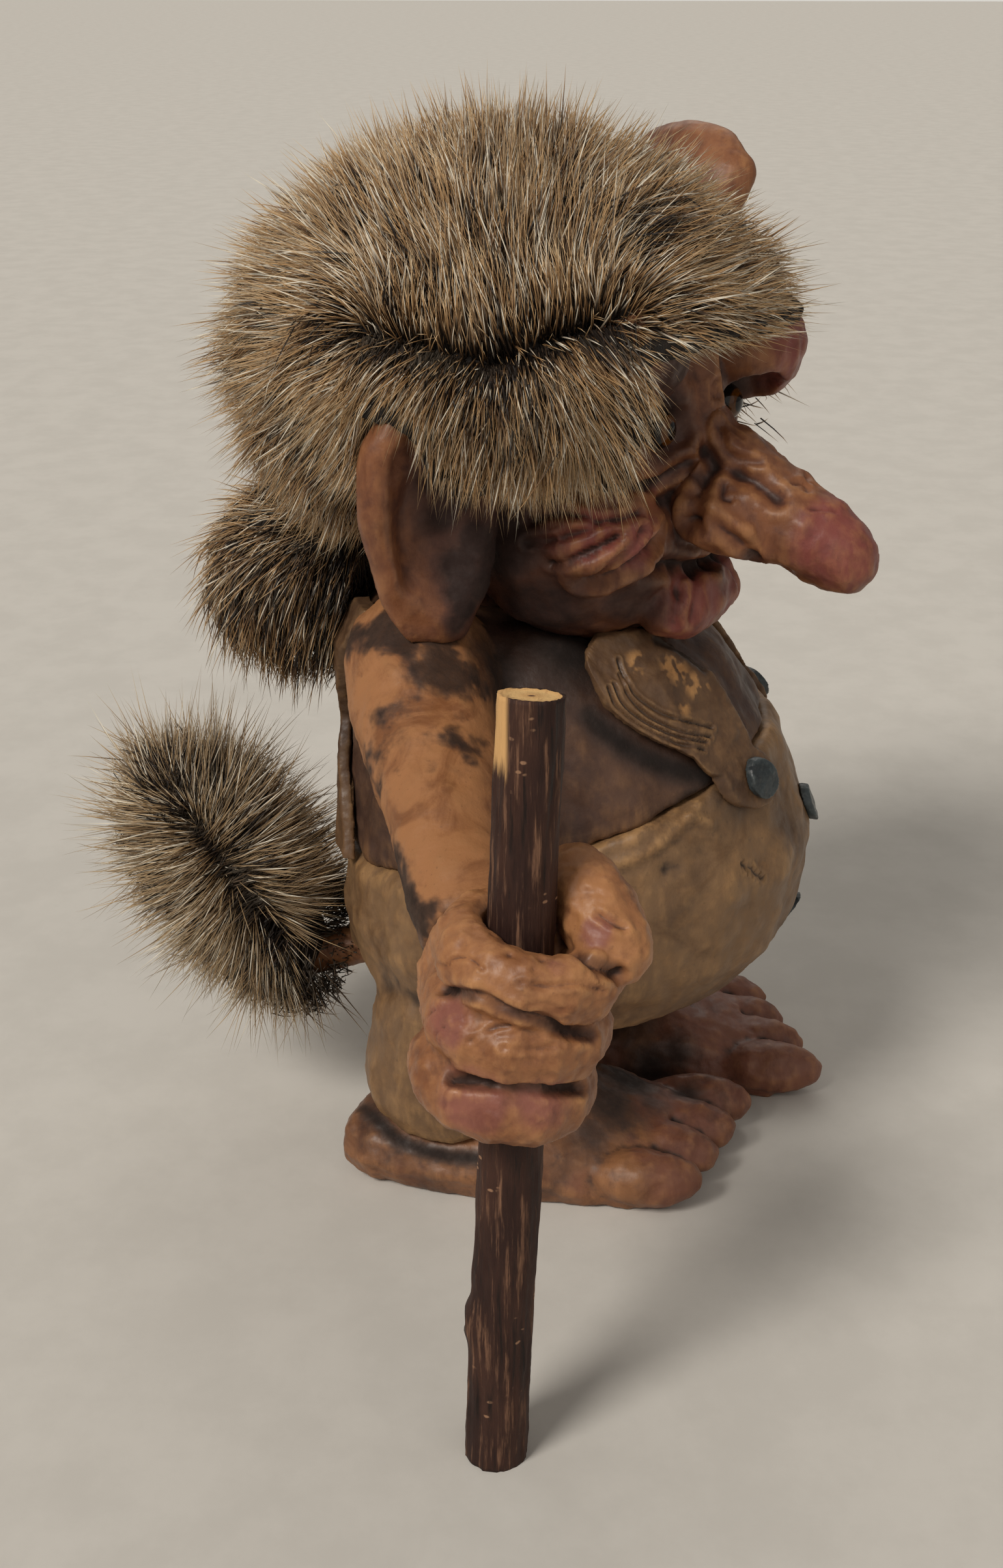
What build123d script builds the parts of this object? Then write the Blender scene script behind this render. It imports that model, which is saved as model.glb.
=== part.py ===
from build123d import *
import os
from math import asin, cos, degrees, pi, radians, sin, tan

# A barefoot folk troll with a twig staff: painted cast pieces, fur pelts and glass eyes.
# Lengths are in millimetres. Front is -Y, the troll's right is -X, up is +Z.

# Where the middle of the body stands, from the middle of the whole figure's outline
body_x = 31.2
body_y = -9.4

# Clearances
glue_gap = 0.2  # between two faces that are glued together
peg_gap = 0.15  # round a peg in its socket
slide_gap = 0.35  # between the staff and the fist that it slides in
pelt_gap = 0.3  # between a pelt and what it lies on or beside

# Facets: the round forms are cut like carved clay, with this many sides
round_sides = 18  # trunk, skull, staff and pelts
limb_sides = 12  # arms, legs, fingers, toes, nose and ears
peg_sides = 8  # pegs have corners, so that a glued piece can't turn
egg_bands = 6  # from one end of an egg to the other
egg_reach = 80.0  # degrees from an egg's waist to its flat ends

# Trunk: rings from the crotch to the collar, each with height, forward place and radius
crotch_height, crotch_forward, crotch_radius = 42.0, 8.0, 33.0
seat_height, seat_forward, seat_radius = 52.0, 13.0, 51.0
hip_height, hip_forward, hip_radius = 66.0, 17.5, 58.0
belly_height, belly_forward, belly_radius = 88.0, 20.5, 58.5
chest_height, chest_forward, chest_radius = 114.0, 16.5, 53.5
shoulder_height, shoulder_forward, shoulder_radius = 136.0, 8.5, 46.0
collar_height, collar_forward, collar_radius = 148.0, 4.0, 35.0

# Trousers
cloth_thickness = 1.3  # how far the trousers stand out from the shirt
waist_height = 94.0  # at the middle of the body
waist_slope = 19.0  # degrees, higher at the front
waist_peg_radius = 30.0
waist_peg_depth = 16.0

# Legs
leg_side = 27.0  # from the middle of the body to the middle of a leg
leg_back = 9.0
leg_radius = 24.0
cuff_radius = 21.0
thigh_radius = 21.0
cuff_height = 15.0
knee_height = 30.0
leg_peg_radius = 9.0
leg_peg_height = 12.0
left_step = 20.0  # the left foot stands this far ahead of the right
left_spread = 3.0

# Feet
heel_back = 37.0
heel_half_width = 20.5
instep_front = 8.0
foot_half_width = 26.5
ball_front = 46.0
ball_half_width = 25.0
ball_height = 15.0
foot_flatness = 1.7  # width of a foot's section over its height
sole_sink = 8.0  # how far the round of the foot is cut flat by the floor
ankle_radius = 13.0
ankle_height = 30.0
toe_radius = 7.6
toe_half_length = 15.0
toe_line_slant = 20.0  # degrees, the inner toes reach further
toe_spacing = 12.6
toe_count = 4
toe_front = 47.0  # middle of the toes, from the middle of the body

# Head
head_forward = 8.0
head_turn = 27.0  # degrees to its right
skull_height = 192.0
skull_radius = 49.0
skull_half_height = 45.0
jaw_forward, jaw_drop, jaw_half_width, jaw_radius = 20.0, 23.0, 42.0, 28.0
cheek_side, cheek_forward, cheek_drop, cheek_radius = 27.0, 32.0, 18.0, 15.0
brow_side, brow_half_width, brow_radius = 24.0, 17.0, 13.0
right_brow_forward, right_brow_rise = 38.0, 22.0  # lifted, under the wig
left_brow_forward, left_brow_rise = 44.0, 16.0
upper_lip_forward, upper_lip_drop, upper_lip_half_width, upper_lip_radius = 39.0, 26.0, 20.0, 9.5
lower_lip_forward, lower_lip_drop, lower_lip_half_width, lower_lip_radius = 42.5, 39.0, 18.0, 9.5
neck_peg_radius = 18.0
neck_peg_depth = 16.0

# Eyes: glass balls on wire stems
eye_side, eye_forward, eye_rise = 17.0, 42.0, 4.0
eye_radius = 4.2
eye_stem_radius = 0.8
eye_stem_length = 12.0
eye_socket_radius = 9.5
eye_socket_forward = 7.5  # middle of the socket, ahead of the eye

# Nose: rings from the root to the tip, a bridge on top and two wings
nose_root_forward, nose_root_drop, nose_root_radius = 46.0, 11.0, 11.0
nose_middle_forward, nose_middle_drop, nose_middle_radius = 66.0, 17.0, 11.2
nose_tip_forward, nose_tip_drop, nose_tip_radius = 79.0, 21.5, 9.8
nose_end_drop = 23.2
nose_bridge_forward, nose_bridge_drop, nose_bridge_radius, nose_bridge_half_length = 54.0, 5.0, 7.0, 19.0
nose_bridge_slope = 29.0  # degrees below level
nose_wing_side, nose_wing_forward, nose_wing_drop = 9.0, 54.0, 16.0
nose_wing_radius, nose_wing_half_length = 8.0, 12.0
nose_wing_slope = 18.0
nose_peg_radius = 5.0
nose_peg_depth = 18.0

# Ears: cupped shells, the left one set high and the right one low
ear_out = 57.0
ear_front = 8.0
ear_turn = 40.0  # degrees, the cups face this far out from straight ahead
right_ear_rise, right_ear_lean = -13.5, 4.0  # from the middle of the skull
left_ear_rise, left_ear_lean = 30.5, 16.0
ear_half_height = 31.0
ear_half_width = 17.0
ear_half_depth = 8.5
ear_rim = 5.0
ear_cup_forward = 7.5
ear_peg_radius = 4.0
ear_peg_depth = 9.0

# Fur pelts of the wig
wig_rise = 13.0  # above the middle of the skull
wig_radius = 72.5
wig_half_height = 58.0
wig_back = 6.0
crown_seam_rise = 22.0
side_edge_drop = 8.0
back_edge_drop = 26.0
back_seam_back = 22.0
right_lock_side = 38.0  # the right side pelt hangs over the face up to here
left_lock_side = 40.0
nape_side, nape_back, nape_drop = 10.0, 53.0, 46.0
nape_radius = 25.0
nape_half_height = 28.0

# Tail and its tuft
tail_root_height = 47.0
tail_radius = 5.5
tail_tip_radius = 2.8
tail_peg_depth = 12.0
tail_bend_back, tail_bend_height = 54.0, 42.0
tail_end_back, tail_end_height = 80.0, 82.0
tuft_radius = 31.0
tuft_half_length = 50.0
tuft_rise = 30.0  # middle of the tuft, along the tail from its bend

# Arms
arm_root_side, arm_root_back, arm_root_height = 38.0, 16.0, 141.0
right_elbow_side, right_elbow_back, right_elbow_height = 72.0, 8.0, 127.0
left_elbow_side, left_elbow_back, left_elbow_height = 70.0, 6.0, 116.0
left_wrist_side, left_wrist_front, left_wrist_height = 80.0, 14.0, 78.0
arm_root_radius = 18.0
upper_arm_radius = 17.0
elbow_radius = 14.5
forearm_radius = 12.0
wrist_radius = 10.5
arm_peg_radius = 9.0
arm_peg_depth = 12.0
wrist_peg_radius = 5.0
wrist_peg_depth = 8.0

# Staff
staff_side = 138.5
staff_foot_forward = 11.0
staff_lean = 2.17  # degrees, its top leans to the front
staff_length = 171.5
staff_foot_radius = 6.8
staff_top_radius = 6.5
staff_cut_slope = 9.0  # degrees, the slant of the sawn top
knot_height = 34.0
knot_radius = 2.6
knot_half_length = 5.2
knot_sink = 1.2

# Right fist, round the staff
fist_height = 106.0
fist_tilt = 9.0  # degrees, the fingers run down towards their tips
finger_thickness = 12.0
finger_width = 14.4
finger_pitch = 13.2
finger_count = 3
palm_in, palm_back = 13.0, 3.0
palm_radius = 18.0
palm_half_height = 20.0
right_wrist_in, right_wrist_back, right_wrist_rise = 9.0, 8.0, 4.0  # from the palm
thumb_in, thumb_front, thumb_rise = 5.0, 15.0, 20.0  # from the middle of the fist
thumb_out, thumb_ahead, thumb_fall = 0.62, 0.5, 0.6  # the way that it points
thumb_radius = 8.3
thumb_half_length = 15.5

# Left hand, hanging
left_palm_drop = 14.0
left_palm_radius = 12.0
left_palm_half_length = 17.0
left_finger_radius = 5.6
left_finger_half_length = 15.0
left_finger_pitch = 9.4
left_finger_drop = 15.0
left_thumb_in, left_thumb_front = 3.0, 12.0
left_thumb_spread = 0.6  # how far it points ahead for each step down

# Braces and buttons
brace_thickness = 3.0
brace_start = 22.0  # the leaf begins this far ahead of the middle, under the chin
brace_side = 37.0
brace_half_width = 12.0
brace_tab_radius = 7.5
brace_tab_height = 113.0
brace_tab_in = 4.0
back_brace_width = 12.0
back_brace_side = 16.0
back_brace_drop = 12.0  # below the waist
button_radius = 4.6
button_thickness = 2.4
upper_fly_height = 93.0
lower_fly_height = 62.0

up = Vector(0, 0, 1)
turn = radians(head_turn)
head_left = Vector(cos(turn), -sin(turn), 0)
head_front = Vector(-sin(turn), -cos(turn), 0)
slope = radians(waist_slope)
waist_up = Vector(0, sin(slope), cos(slope))


def spot(x, y, z):
    """A point given from the middle of the body on the floor."""
    return Vector(body_x + x, body_y + y, z)


def face_spot(left, front, height):
    """A point given from the middle of the head, along the way the face looks."""
    return spot(0, -head_forward, height) + head_left * left + head_front * front


def level_plane(height):
    return Plane(origin=spot(0, 0, height), x_dir=(1, 0, 0), z_dir=(0, 0, 1))


def square_to(direction):
    """A direction at right angles to the one given."""
    helper = up if abs(direction.normalized().Z) < 0.9 else Vector(1, 0, 0)
    return direction.cross(helper).normalized()


def ring(center, x_dir, y_dir, half_x, half_y, sides):
    """The corners of one many-sided section."""
    angles = [2 * pi * number / sides for number in range(sides)]
    return [center + x_dir * half_x * cos(angle) + y_dir * half_y * sin(angle) for angle in angles]


def facets(rings, closed=False, mode=Mode.ADD):
    """A solid with flat facets from ring to ring, closed in a loop or capped at both ends."""
    faces = []
    ends = rings[1:] + rings[:1] if closed else rings[1:]
    for near, far in zip(rings, ends):
        for number in range(len(near)):
            corners = [near[number - 1], near[number], far[number], far[number - 1]]
            faces.append(Face(Wire.make_polygon(corners)))
    if not closed:
        faces += [Face(Wire.make_polygon(rings[0])), Face(Wire.make_polygon(rings[-1]))]
    add(Solid(Shell(faces)), mode=mode)


def stack(places, x_dir, z_dir, flatness=1.0, sides=limb_sides, mode=Mode.ADD):
    """A form through sections that all face one way: middle and half width of each."""
    y_dir = z_dir.cross(x_dir)
    facets([ring(center, x_dir, y_dir, wide, wide / flatness, sides) for center, wide in places], mode=mode)


def egg(center, along, half_length, radius, mode=Mode.ADD, sides=limb_sides):
    """A faceted egg that is round about one axis."""
    along = along.normalized()
    steps = [(2 * number / egg_bands - 1) * radians(egg_reach) for number in range(egg_bands + 1)]
    places = [(center + along * half_length * sin(step), radius * cos(step)) for step in steps]
    stack(places, square_to(along), along, sides=sides, mode=mode)


def peg(start, end, radius, mode=Mode.ADD):
    """A bar with corners from one point to another."""
    along = (end - start).normalized()
    stack([(start, radius), (end, radius)], square_to(along), along, sides=peg_sides, mode=mode)


def trunk(grow=0.0, mode=Mode.ADD):
    """The body from the crotch to the collar, or one that is larger all round."""
    rings = (
        (crotch_height - grow, crotch_forward, crotch_radius),
        (seat_height, seat_forward, seat_radius),
        (hip_height, hip_forward, hip_radius),
        (belly_height, belly_forward, belly_radius),
        (chest_height, chest_forward, chest_radius),
        (shoulder_height, shoulder_forward, shoulder_radius),
        (collar_height + grow, collar_forward, collar_radius),
    )
    places = [(spot(0, -forward, height), radius + grow) for height, forward, radius in rings]
    stack(places, Vector(1, 0, 0), up, sides=round_sides, mode=mode)


def waist_peg(grow=0.0, mode=Mode.ADD):
    """The round stub under the shirt that sits in the trousers."""
    middle = spot(0, -belly_forward, waist_height + belly_forward * tan(slope))
    top = middle + waist_up * 2 * glue_gap
    peg(top, middle - waist_up * (waist_peg_depth + grow), waist_peg_radius + grow, mode)


def head_form(grow=0.0, mode=Mode.ADD):
    """Skull, jaw, cheeks, brows and lips, or a larger copy that cuts room for them."""
    egg(face_spot(0, 0, skull_height), up, skull_half_height + grow, skull_radius + grow, mode, round_sides)
    jaw = face_spot(0, jaw_forward, skull_height - jaw_drop)
    egg(jaw, head_left, jaw_half_width + grow, jaw_radius + grow, mode, round_sides)
    for side in (-1, 1):
        cheek = face_spot(side * cheek_side, cheek_forward, skull_height - cheek_drop)
        egg(cheek, head_left, cheek_radius + grow, cheek_radius + grow, mode)
        forward = right_brow_forward if side < 0 else left_brow_forward
        rise = right_brow_rise if side < 0 else left_brow_rise
        brow = face_spot(side * brow_side, forward, skull_height + rise)
        egg(brow, head_left, brow_half_width + grow, brow_radius + grow, mode)
    upper_lip = face_spot(0, upper_lip_forward, skull_height - upper_lip_drop)
    egg(upper_lip, head_left, upper_lip_half_width + grow, upper_lip_radius + grow, mode)
    lower_lip = face_spot(0, lower_lip_forward, skull_height - lower_lip_drop)
    egg(lower_lip, head_left, lower_lip_half_width + grow, lower_lip_radius + grow, mode)


def neck_peg(grow=0.0, mode=Mode.ADD):
    """The stub under the head that sits in the torso."""
    top = spot(0, -head_forward, skull_height - jaw_drop)
    foot = spot(0, -head_forward, skull_height - skull_half_height - neck_peg_depth - grow)
    peg(top, foot, neck_peg_radius + grow, mode)


staff_axis = Vector(0, -sin(radians(staff_lean)), cos(radians(staff_lean)))


def staff_spot(height):
    """The point of the staff's middle line at a height above the floor."""
    return spot(-staff_side, -staff_foot_forward, 0) + staff_axis * (height / staff_axis.Z)


fist_middle = staff_spot(fist_height)
fist_axis = Vector(0, -sin(radians(staff_lean + fist_tilt)), cos(radians(staff_lean + fist_tilt)))
palm_middle = fist_middle + Vector(palm_in, palm_back, 0)


def arm_rings(side):
    """Middle and radius of an arm's sections, from the shoulder to the wrist."""
    root = spot(side * arm_root_side, arm_root_back, arm_root_height)
    if side < 0:
        elbow = spot(-right_elbow_side, right_elbow_back, right_elbow_height)
        wrist = palm_middle + Vector(right_wrist_in, right_wrist_back, right_wrist_rise)
    else:
        elbow = spot(left_elbow_side, left_elbow_back, left_elbow_height)
        wrist = spot(left_wrist_side, -left_wrist_front, left_wrist_height)
    return (
        (root, arm_root_radius),
        ((root + elbow) / 2, upper_arm_radius),
        (elbow, elbow_radius),
        ((elbow + wrist) / 2, forearm_radius),
        (wrist, wrist_radius),
    )


def arm_form(side, grow=0.0, mode=Mode.ADD):
    """An arm with a round shoulder and sections square to the line from there to the wrist."""
    rings = arm_rings(side)
    along = (rings[-1][0] - rings[0][0]).normalized()
    egg(rings[0][0], along, arm_root_radius + grow, arm_root_radius + grow, mode)
    stack([(center, radius + grow) for center, radius in rings], square_to(along), along, mode=mode)


def shoulder_peg(side, grow=0.0, mode=Mode.ADD):
    """The stub of an arm that sits in the torso."""
    root, upper = arm_rings(side)[0][0], arm_rings(side)[1][0]
    inward = (root - upper).normalized()
    peg(upper, root + inward * (arm_peg_depth + grow), arm_peg_radius + grow, mode)


def wrist_peg(side, grow=0.0, mode=Mode.ADD):
    """The stub of an arm that sits in the hand."""
    forearm, wrist = arm_rings(side)[-2][0], arm_rings(side)[-1][0]
    outward = (wrist - forearm).normalized()
    tip = wrist + outward * (wrist_peg_depth + grow)
    peg(wrist - outward * wrist_peg_depth, tip, wrist_peg_radius + grow, mode)


def leg_spot(side, out, front, height):
    """A point of a leg or foot: out from the leg's middle, forward from the body's."""
    step = left_step if side > 0 else 0.0
    spread = left_spread if side > 0 else 0.0
    return spot(side * (leg_side + spread + out), -front - step, height)


def leg_form(side, mode=Mode.ADD):
    """A squat trouser leg that swells over the foot."""
    rings = (
        (cuff_height, cuff_radius),
        ((cuff_height + knee_height) / 2, leg_radius),
        (knee_height, leg_radius),
        (seat_height, thigh_radius),
    )
    places = [(leg_spot(side, 0, -leg_back, height), radius) for height, radius in rings]
    stack(places, Vector(1, 0, 0), up, mode=mode)


def leg_peg(side, grow=0.0, mode=Mode.ADD):
    """The stub of a leg that sits in the trousers."""
    tip = leg_spot(side, 0, -leg_back, seat_height + leg_peg_height + grow)
    peg(leg_spot(side, 0, -leg_back, knee_height), tip, leg_peg_radius + grow, mode)


def foot_form(side, grow=0.0, mode=Mode.ADD):
    """Heel, instep and toes, before the floor cuts them flat."""
    level = foot_half_width / foot_flatness - sole_sink
    ball_level = ball_height - ball_half_width / foot_flatness
    rings = (
        (-heel_back, heel_half_width * 0.2, level),
        (-heel_back * 0.9, heel_half_width * 0.7, level),
        (-heel_back * 0.65, heel_half_width, level),
        (instep_front, foot_half_width, level),
        (ball_front / 2, foot_half_width, level),
        (ball_front, ball_half_width, ball_level),
    )
    places = [(leg_spot(side, 0, front, height), wide + grow) for front, wide, height in rings]
    slant = radians(toe_line_slant)
    toe_line = Vector(side * cos(slant), sin(slant), 0)
    stack(places, toe_line, Vector(side * sin(slant), -cos(slant), 0), foot_flatness, mode=mode)
    for number in range(toe_count):
        out = (number - (toe_count - 1) / 2) * toe_spacing
        toe = leg_spot(side, out, toe_front - out * tan(slant), toe_radius - glue_gap)
        egg(toe, Vector(0, 1, 0), toe_half_length + grow, toe_radius + grow, mode)


def ankle(side, grow=0.0, mode=Mode.ADD):
    """The stub of a foot that sits in the trouser leg."""
    peg(leg_spot(side, 0, -leg_back, toe_radius), leg_spot(side, 0, -leg_back, ankle_height + grow),
        ankle_radius + grow, mode)


def ear_axes(side):
    """Middle of an ear, the way that its height leans, its width points and its cup faces."""
    height = skull_height + (right_ear_rise if side < 0 else left_ear_rise)
    lean = radians(right_ear_lean if side < 0 else left_ear_lean)
    facing = radians(ear_turn)
    tall = up * cos(lean) + head_left * side * sin(lean)
    cup = head_front * cos(facing) + head_left * side * sin(facing)
    across = tall.cross(cup).normalized()
    return face_spot(side * ear_out, ear_front, height), tall, across, cup


def ear_form(side, grow=0.0, mode=Mode.ADD):
    """The full round of an ear, wide at the top and narrow at the lobe."""
    center, tall, across, cup = ear_axes(side)
    shares = ((-1.0, 0.16), (-0.9, 0.42), (-0.5, 0.74), (0.1, 1.0), (0.6, 0.92), (0.9, 0.52), (1.0, 0.18))
    places = [(center + tall * (ear_half_height + grow) * place, ear_half_width * share + grow)
              for place, share in shares]
    stack(places, across, tall, ear_half_width / ear_half_depth, mode=mode)


def ear_cup(side):
    """The hollow of an ear."""
    center, tall, across, cup = ear_axes(side)
    middle = center + cup * ear_cup_forward
    shares = ((-0.9, 0.25), (-0.55, 0.7), (0.05, 1.0), (0.65, 0.85), (1.0, 0.3))
    places = [(middle + tall * (ear_half_height - ear_rim) * place, (ear_half_width - ear_rim) * share)
              for place, share in shares]
    stack(places, across, tall, (ear_half_width - ear_rim) / ear_half_depth, mode=Mode.SUBTRACT)


def ear_peg(side, grow=0.0, mode=Mode.ADD):
    """The stub of an ear that sits in the head."""
    center, tall, across, cup = ear_axes(side)
    start = center - cup * ear_peg_radius / 2
    inward = (face_spot(0, ear_front, skull_height) - start).normalized()
    peg(start, start + inward * (ear_half_width + ear_peg_depth + grow), ear_peg_radius + grow, mode)


def down_from_level(angle):
    """The way the face looks, turned down by an angle in degrees."""
    return head_front * cos(radians(angle)) - up * sin(radians(angle))


def nose_form():
    """A long drooping nose with a bridge and two wings."""
    rings = (
        (nose_root_forward - nose_root_radius, nose_root_drop, nose_root_radius),
        (nose_root_forward, nose_root_drop, nose_root_radius),
        (nose_middle_forward, nose_middle_drop, nose_middle_radius),
        (nose_tip_forward, nose_tip_drop, nose_tip_radius),
        (nose_tip_forward + nose_tip_radius * 0.6, nose_end_drop, nose_tip_radius * 0.78),
        (nose_tip_forward + nose_tip_radius * 0.95, nose_end_drop, nose_tip_radius * 0.35),
    )
    places = [(face_spot(0, front, skull_height - drop), radius) for front, drop, radius in rings]
    stack(places, head_left, head_front)
    bridge = face_spot(0, nose_bridge_forward, skull_height - nose_bridge_drop)
    egg(bridge, down_from_level(nose_bridge_slope), nose_bridge_half_length, nose_bridge_radius)
    for side in (-1, 1):
        wing = face_spot(side * nose_wing_side, nose_wing_forward, skull_height - nose_wing_drop)
        egg(wing, down_from_level(nose_wing_slope), nose_wing_half_length, nose_wing_radius)


def nose_peg(grow=0.0, mode=Mode.ADD):
    """The stub of the nose that sits in the head."""
    height = skull_height - nose_root_drop
    peg(face_spot(0, nose_root_forward + nose_root_radius, height),
        face_spot(0, nose_root_forward - nose_peg_depth - grow, height), nose_peg_radius + grow, mode)


def eye_spot(side, front=eye_forward):
    return face_spot(side * eye_side, front, skull_height + eye_rise)


def eye_stem(side, grow=0.0, mode=Mode.ADD):
    """The wire that holds a glass eye in the head."""
    peg(eye_spot(side), eye_spot(side, eye_forward - eye_stem_length - grow), eye_stem_radius + grow, mode)


def trunk_skin(lift, thickness):
    """A skin that lies a given way off the trunk."""
    trunk(lift + thickness)
    trunk(lift, mode=Mode.SUBTRACT)


tail_bend = spot(0, tail_bend_back, tail_bend_height)
tail_end = spot(0, tail_end_back, tail_end_height)
tail_seat = spot(0, seat_radius - seat_forward, tail_root_height)
tail_level = (tail_bend - tail_seat).normalized()
tail_rise = (tail_end - tail_bend).normalized()


def tail_form(grow=0.0, mode=Mode.ADD):
    """The bare tail, out of the seat and up into its tuft."""
    root = tail_seat - tail_level * (tail_peg_depth + grow)
    stack([(root, tail_radius + grow), (tail_bend, tail_radius + grow)],
          square_to(tail_level), tail_level, mode=mode)
    egg(tail_bend, tail_level, tail_radius + grow, tail_radius + grow, mode)
    stack([(tail_bend, tail_radius + grow), (tail_end + tail_rise * grow, tail_tip_radius + grow)],
          square_to(tail_rise), tail_rise, mode=mode)


os.makedirs("parts", exist_ok=True)

# Torso: the shirt above the waist, with sockets for the head and the arms
waist_plane = Plane(origin=spot(0, 0, waist_height), x_dir=(1, 0, 0), z_dir=waist_up)
with BuildPart() as torso:
    trunk()
    split(bisect_by=waist_plane.offset(glue_gap), keep=Keep.TOP)
    waist_peg()
    head_form(glue_gap, mode=Mode.SUBTRACT)
    neck_peg(peg_gap, mode=Mode.SUBTRACT)
    shoulder_peg(-1, peg_gap, mode=Mode.SUBTRACT)
    shoulder_peg(1, peg_gap, mode=Mode.SUBTRACT)
torso.part.label = "torso"
export_step(torso.part, "parts/torso.step")

# Trousers: the trunk below the waist, with sockets for the shirt, the legs and the tail
with BuildPart() as trousers:
    trunk(cloth_thickness)
    split(bisect_by=waist_plane, keep=Keep.BOTTOM)
    waist_peg(peg_gap, mode=Mode.SUBTRACT)
    leg_peg(-1, peg_gap, mode=Mode.SUBTRACT)
    leg_peg(1, peg_gap, mode=Mode.SUBTRACT)
    tail_form(peg_gap, mode=Mode.SUBTRACT)
trousers.part.label = "trousers"
export_step(trousers.part, "parts/trousers.step")

# Legs and feet
for side, name in ((-1, "right"), (1, "left")):
    with BuildPart() as leg:
        leg_form(side)
        trunk(cloth_thickness + glue_gap, mode=Mode.SUBTRACT)
        leg_peg(side)
        foot_form(side, glue_gap, mode=Mode.SUBTRACT)
        ankle(side, peg_gap, mode=Mode.SUBTRACT)
    leg.part.label = name + "_leg"
    export_step(leg.part, "parts/" + name + "_leg.step")
    with BuildPart() as foot:
        foot_form(side)
        ankle(side)
        split(bisect_by=Plane.XY, keep=Keep.TOP)
    foot.part.label = name + "_foot"
    export_step(foot.part, "parts/" + name + "_foot.step")

# Head, with sockets for the nose, the ears and the eyes
with BuildPart() as head:
    head_form()
    neck_peg()
    nose_peg(peg_gap, mode=Mode.SUBTRACT)
    for side in (-1, 1):
        socket = eye_spot(side, eye_forward + eye_socket_forward)
        egg(socket, head_front, eye_socket_radius, eye_socket_radius, mode=Mode.SUBTRACT)
        egg(eye_spot(side), head_front, eye_radius + glue_gap, eye_radius + glue_gap, mode=Mode.SUBTRACT)
        eye_stem(side, peg_gap, mode=Mode.SUBTRACT)
        ear_peg(side, peg_gap, mode=Mode.SUBTRACT)
head.part.label = "head"
export_step(head.part, "parts/head.step")

with BuildPart() as nose:
    nose_form()
    head_form(glue_gap, mode=Mode.SUBTRACT)
    nose_peg()
nose.part.label = "nose"
export_step(nose.part, "parts/nose.step")

for side, name in ((-1, "right"), (1, "left")):
    with BuildPart() as ear:
        ear_form(side)
        ear_cup(side)
        head_form(glue_gap, mode=Mode.SUBTRACT)
        arm_form(side, glue_gap, mode=Mode.SUBTRACT)
        ear_peg(side)
    ear.part.label = name + "_ear"
    export_step(ear.part, "parts/" + name + "_ear.step")
    with BuildPart() as eye:
        egg(eye_spot(side), head_front, eye_radius, eye_radius)
        eye_stem(side)
    eye.part.label = name + "_eye"
    export_step(eye.part, "parts/" + name + "_eye.step")

# Arms
for side, name in ((-1, "right"), (1, "left")):
    with BuildPart() as arm:
        arm_form(side)
        trunk(glue_gap, mode=Mode.SUBTRACT)
        shoulder_peg(side)
        wrist_peg(side)
    arm.part.label = name + "_arm"
    export_step(arm.part, "parts/" + name + "_arm.step")

# Right fist: curled fingers and a thumb round the staff
bore_radius = staff_foot_radius + slide_gap
finger_middle = bore_radius + finger_thickness / 2
with BuildPart() as right_hand:
    for number in range(finger_count):
        level = fist_middle + fist_axis * ((finger_count - 1) / 2 - number) * finger_pitch
        sections = []
        for place in range(limb_sides):
            angle = 2 * pi * place / limb_sides
            outward = Vector(1, 0, 0) * cos(angle) + fist_axis.cross(Vector(1, 0, 0)) * sin(angle)
            section = ring(level + outward * finger_middle, outward, fist_axis,
                           finger_thickness / 2, finger_width / 2, limb_sides)
            sections.append(section)
        facets(sections, closed=True)
    egg(palm_middle, fist_axis, palm_half_height, palm_radius)
    thumb_middle = fist_middle + Vector(thumb_in, -thumb_front, thumb_rise)
    egg(thumb_middle, Vector(-thumb_out, -thumb_ahead, -thumb_fall), thumb_half_length, thumb_radius)
    arm_form(-1, glue_gap, mode=Mode.SUBTRACT)
    wrist_peg(-1, peg_gap, mode=Mode.SUBTRACT)
    with BuildSketch(Plane(origin=staff_spot(0), x_dir=(1, 0, 0), z_dir=staff_axis)) as bore:
        Circle(bore_radius)
    extrude(bore.sketch, amount=staff_length, mode=Mode.SUBTRACT)
right_hand.part.label = "right_hand"
export_step(right_hand.part, "parts/right_hand.step")

# Left hand, hanging open at the side
left_forearm, left_wrist = arm_rings(1)[-2][0], arm_rings(1)[-1][0]
left_down = (left_wrist - left_forearm).normalized()
with BuildPart() as left_hand:
    palm = left_wrist + left_down * left_palm_drop
    egg(palm, left_down, left_palm_half_length, left_palm_radius)
    for number in range(finger_count):
        row = Vector(0, 1, 0) * (number - (finger_count - 1) / 2) * left_finger_pitch
        egg(palm + left_down * left_finger_drop + row, left_down, left_finger_half_length, left_finger_radius)
    thumb = palm - Vector(left_thumb_in, left_thumb_front, 0)
    egg(thumb, left_down - Vector(0, left_thumb_spread, 0), left_finger_half_length, left_finger_radius)
    arm_form(1, glue_gap, mode=Mode.SUBTRACT)
    wrist_peg(1, peg_gap, mode=Mode.SUBTRACT)
left_hand.part.label = "left_hand"
export_step(left_hand.part, "parts/left_hand.step")

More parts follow.
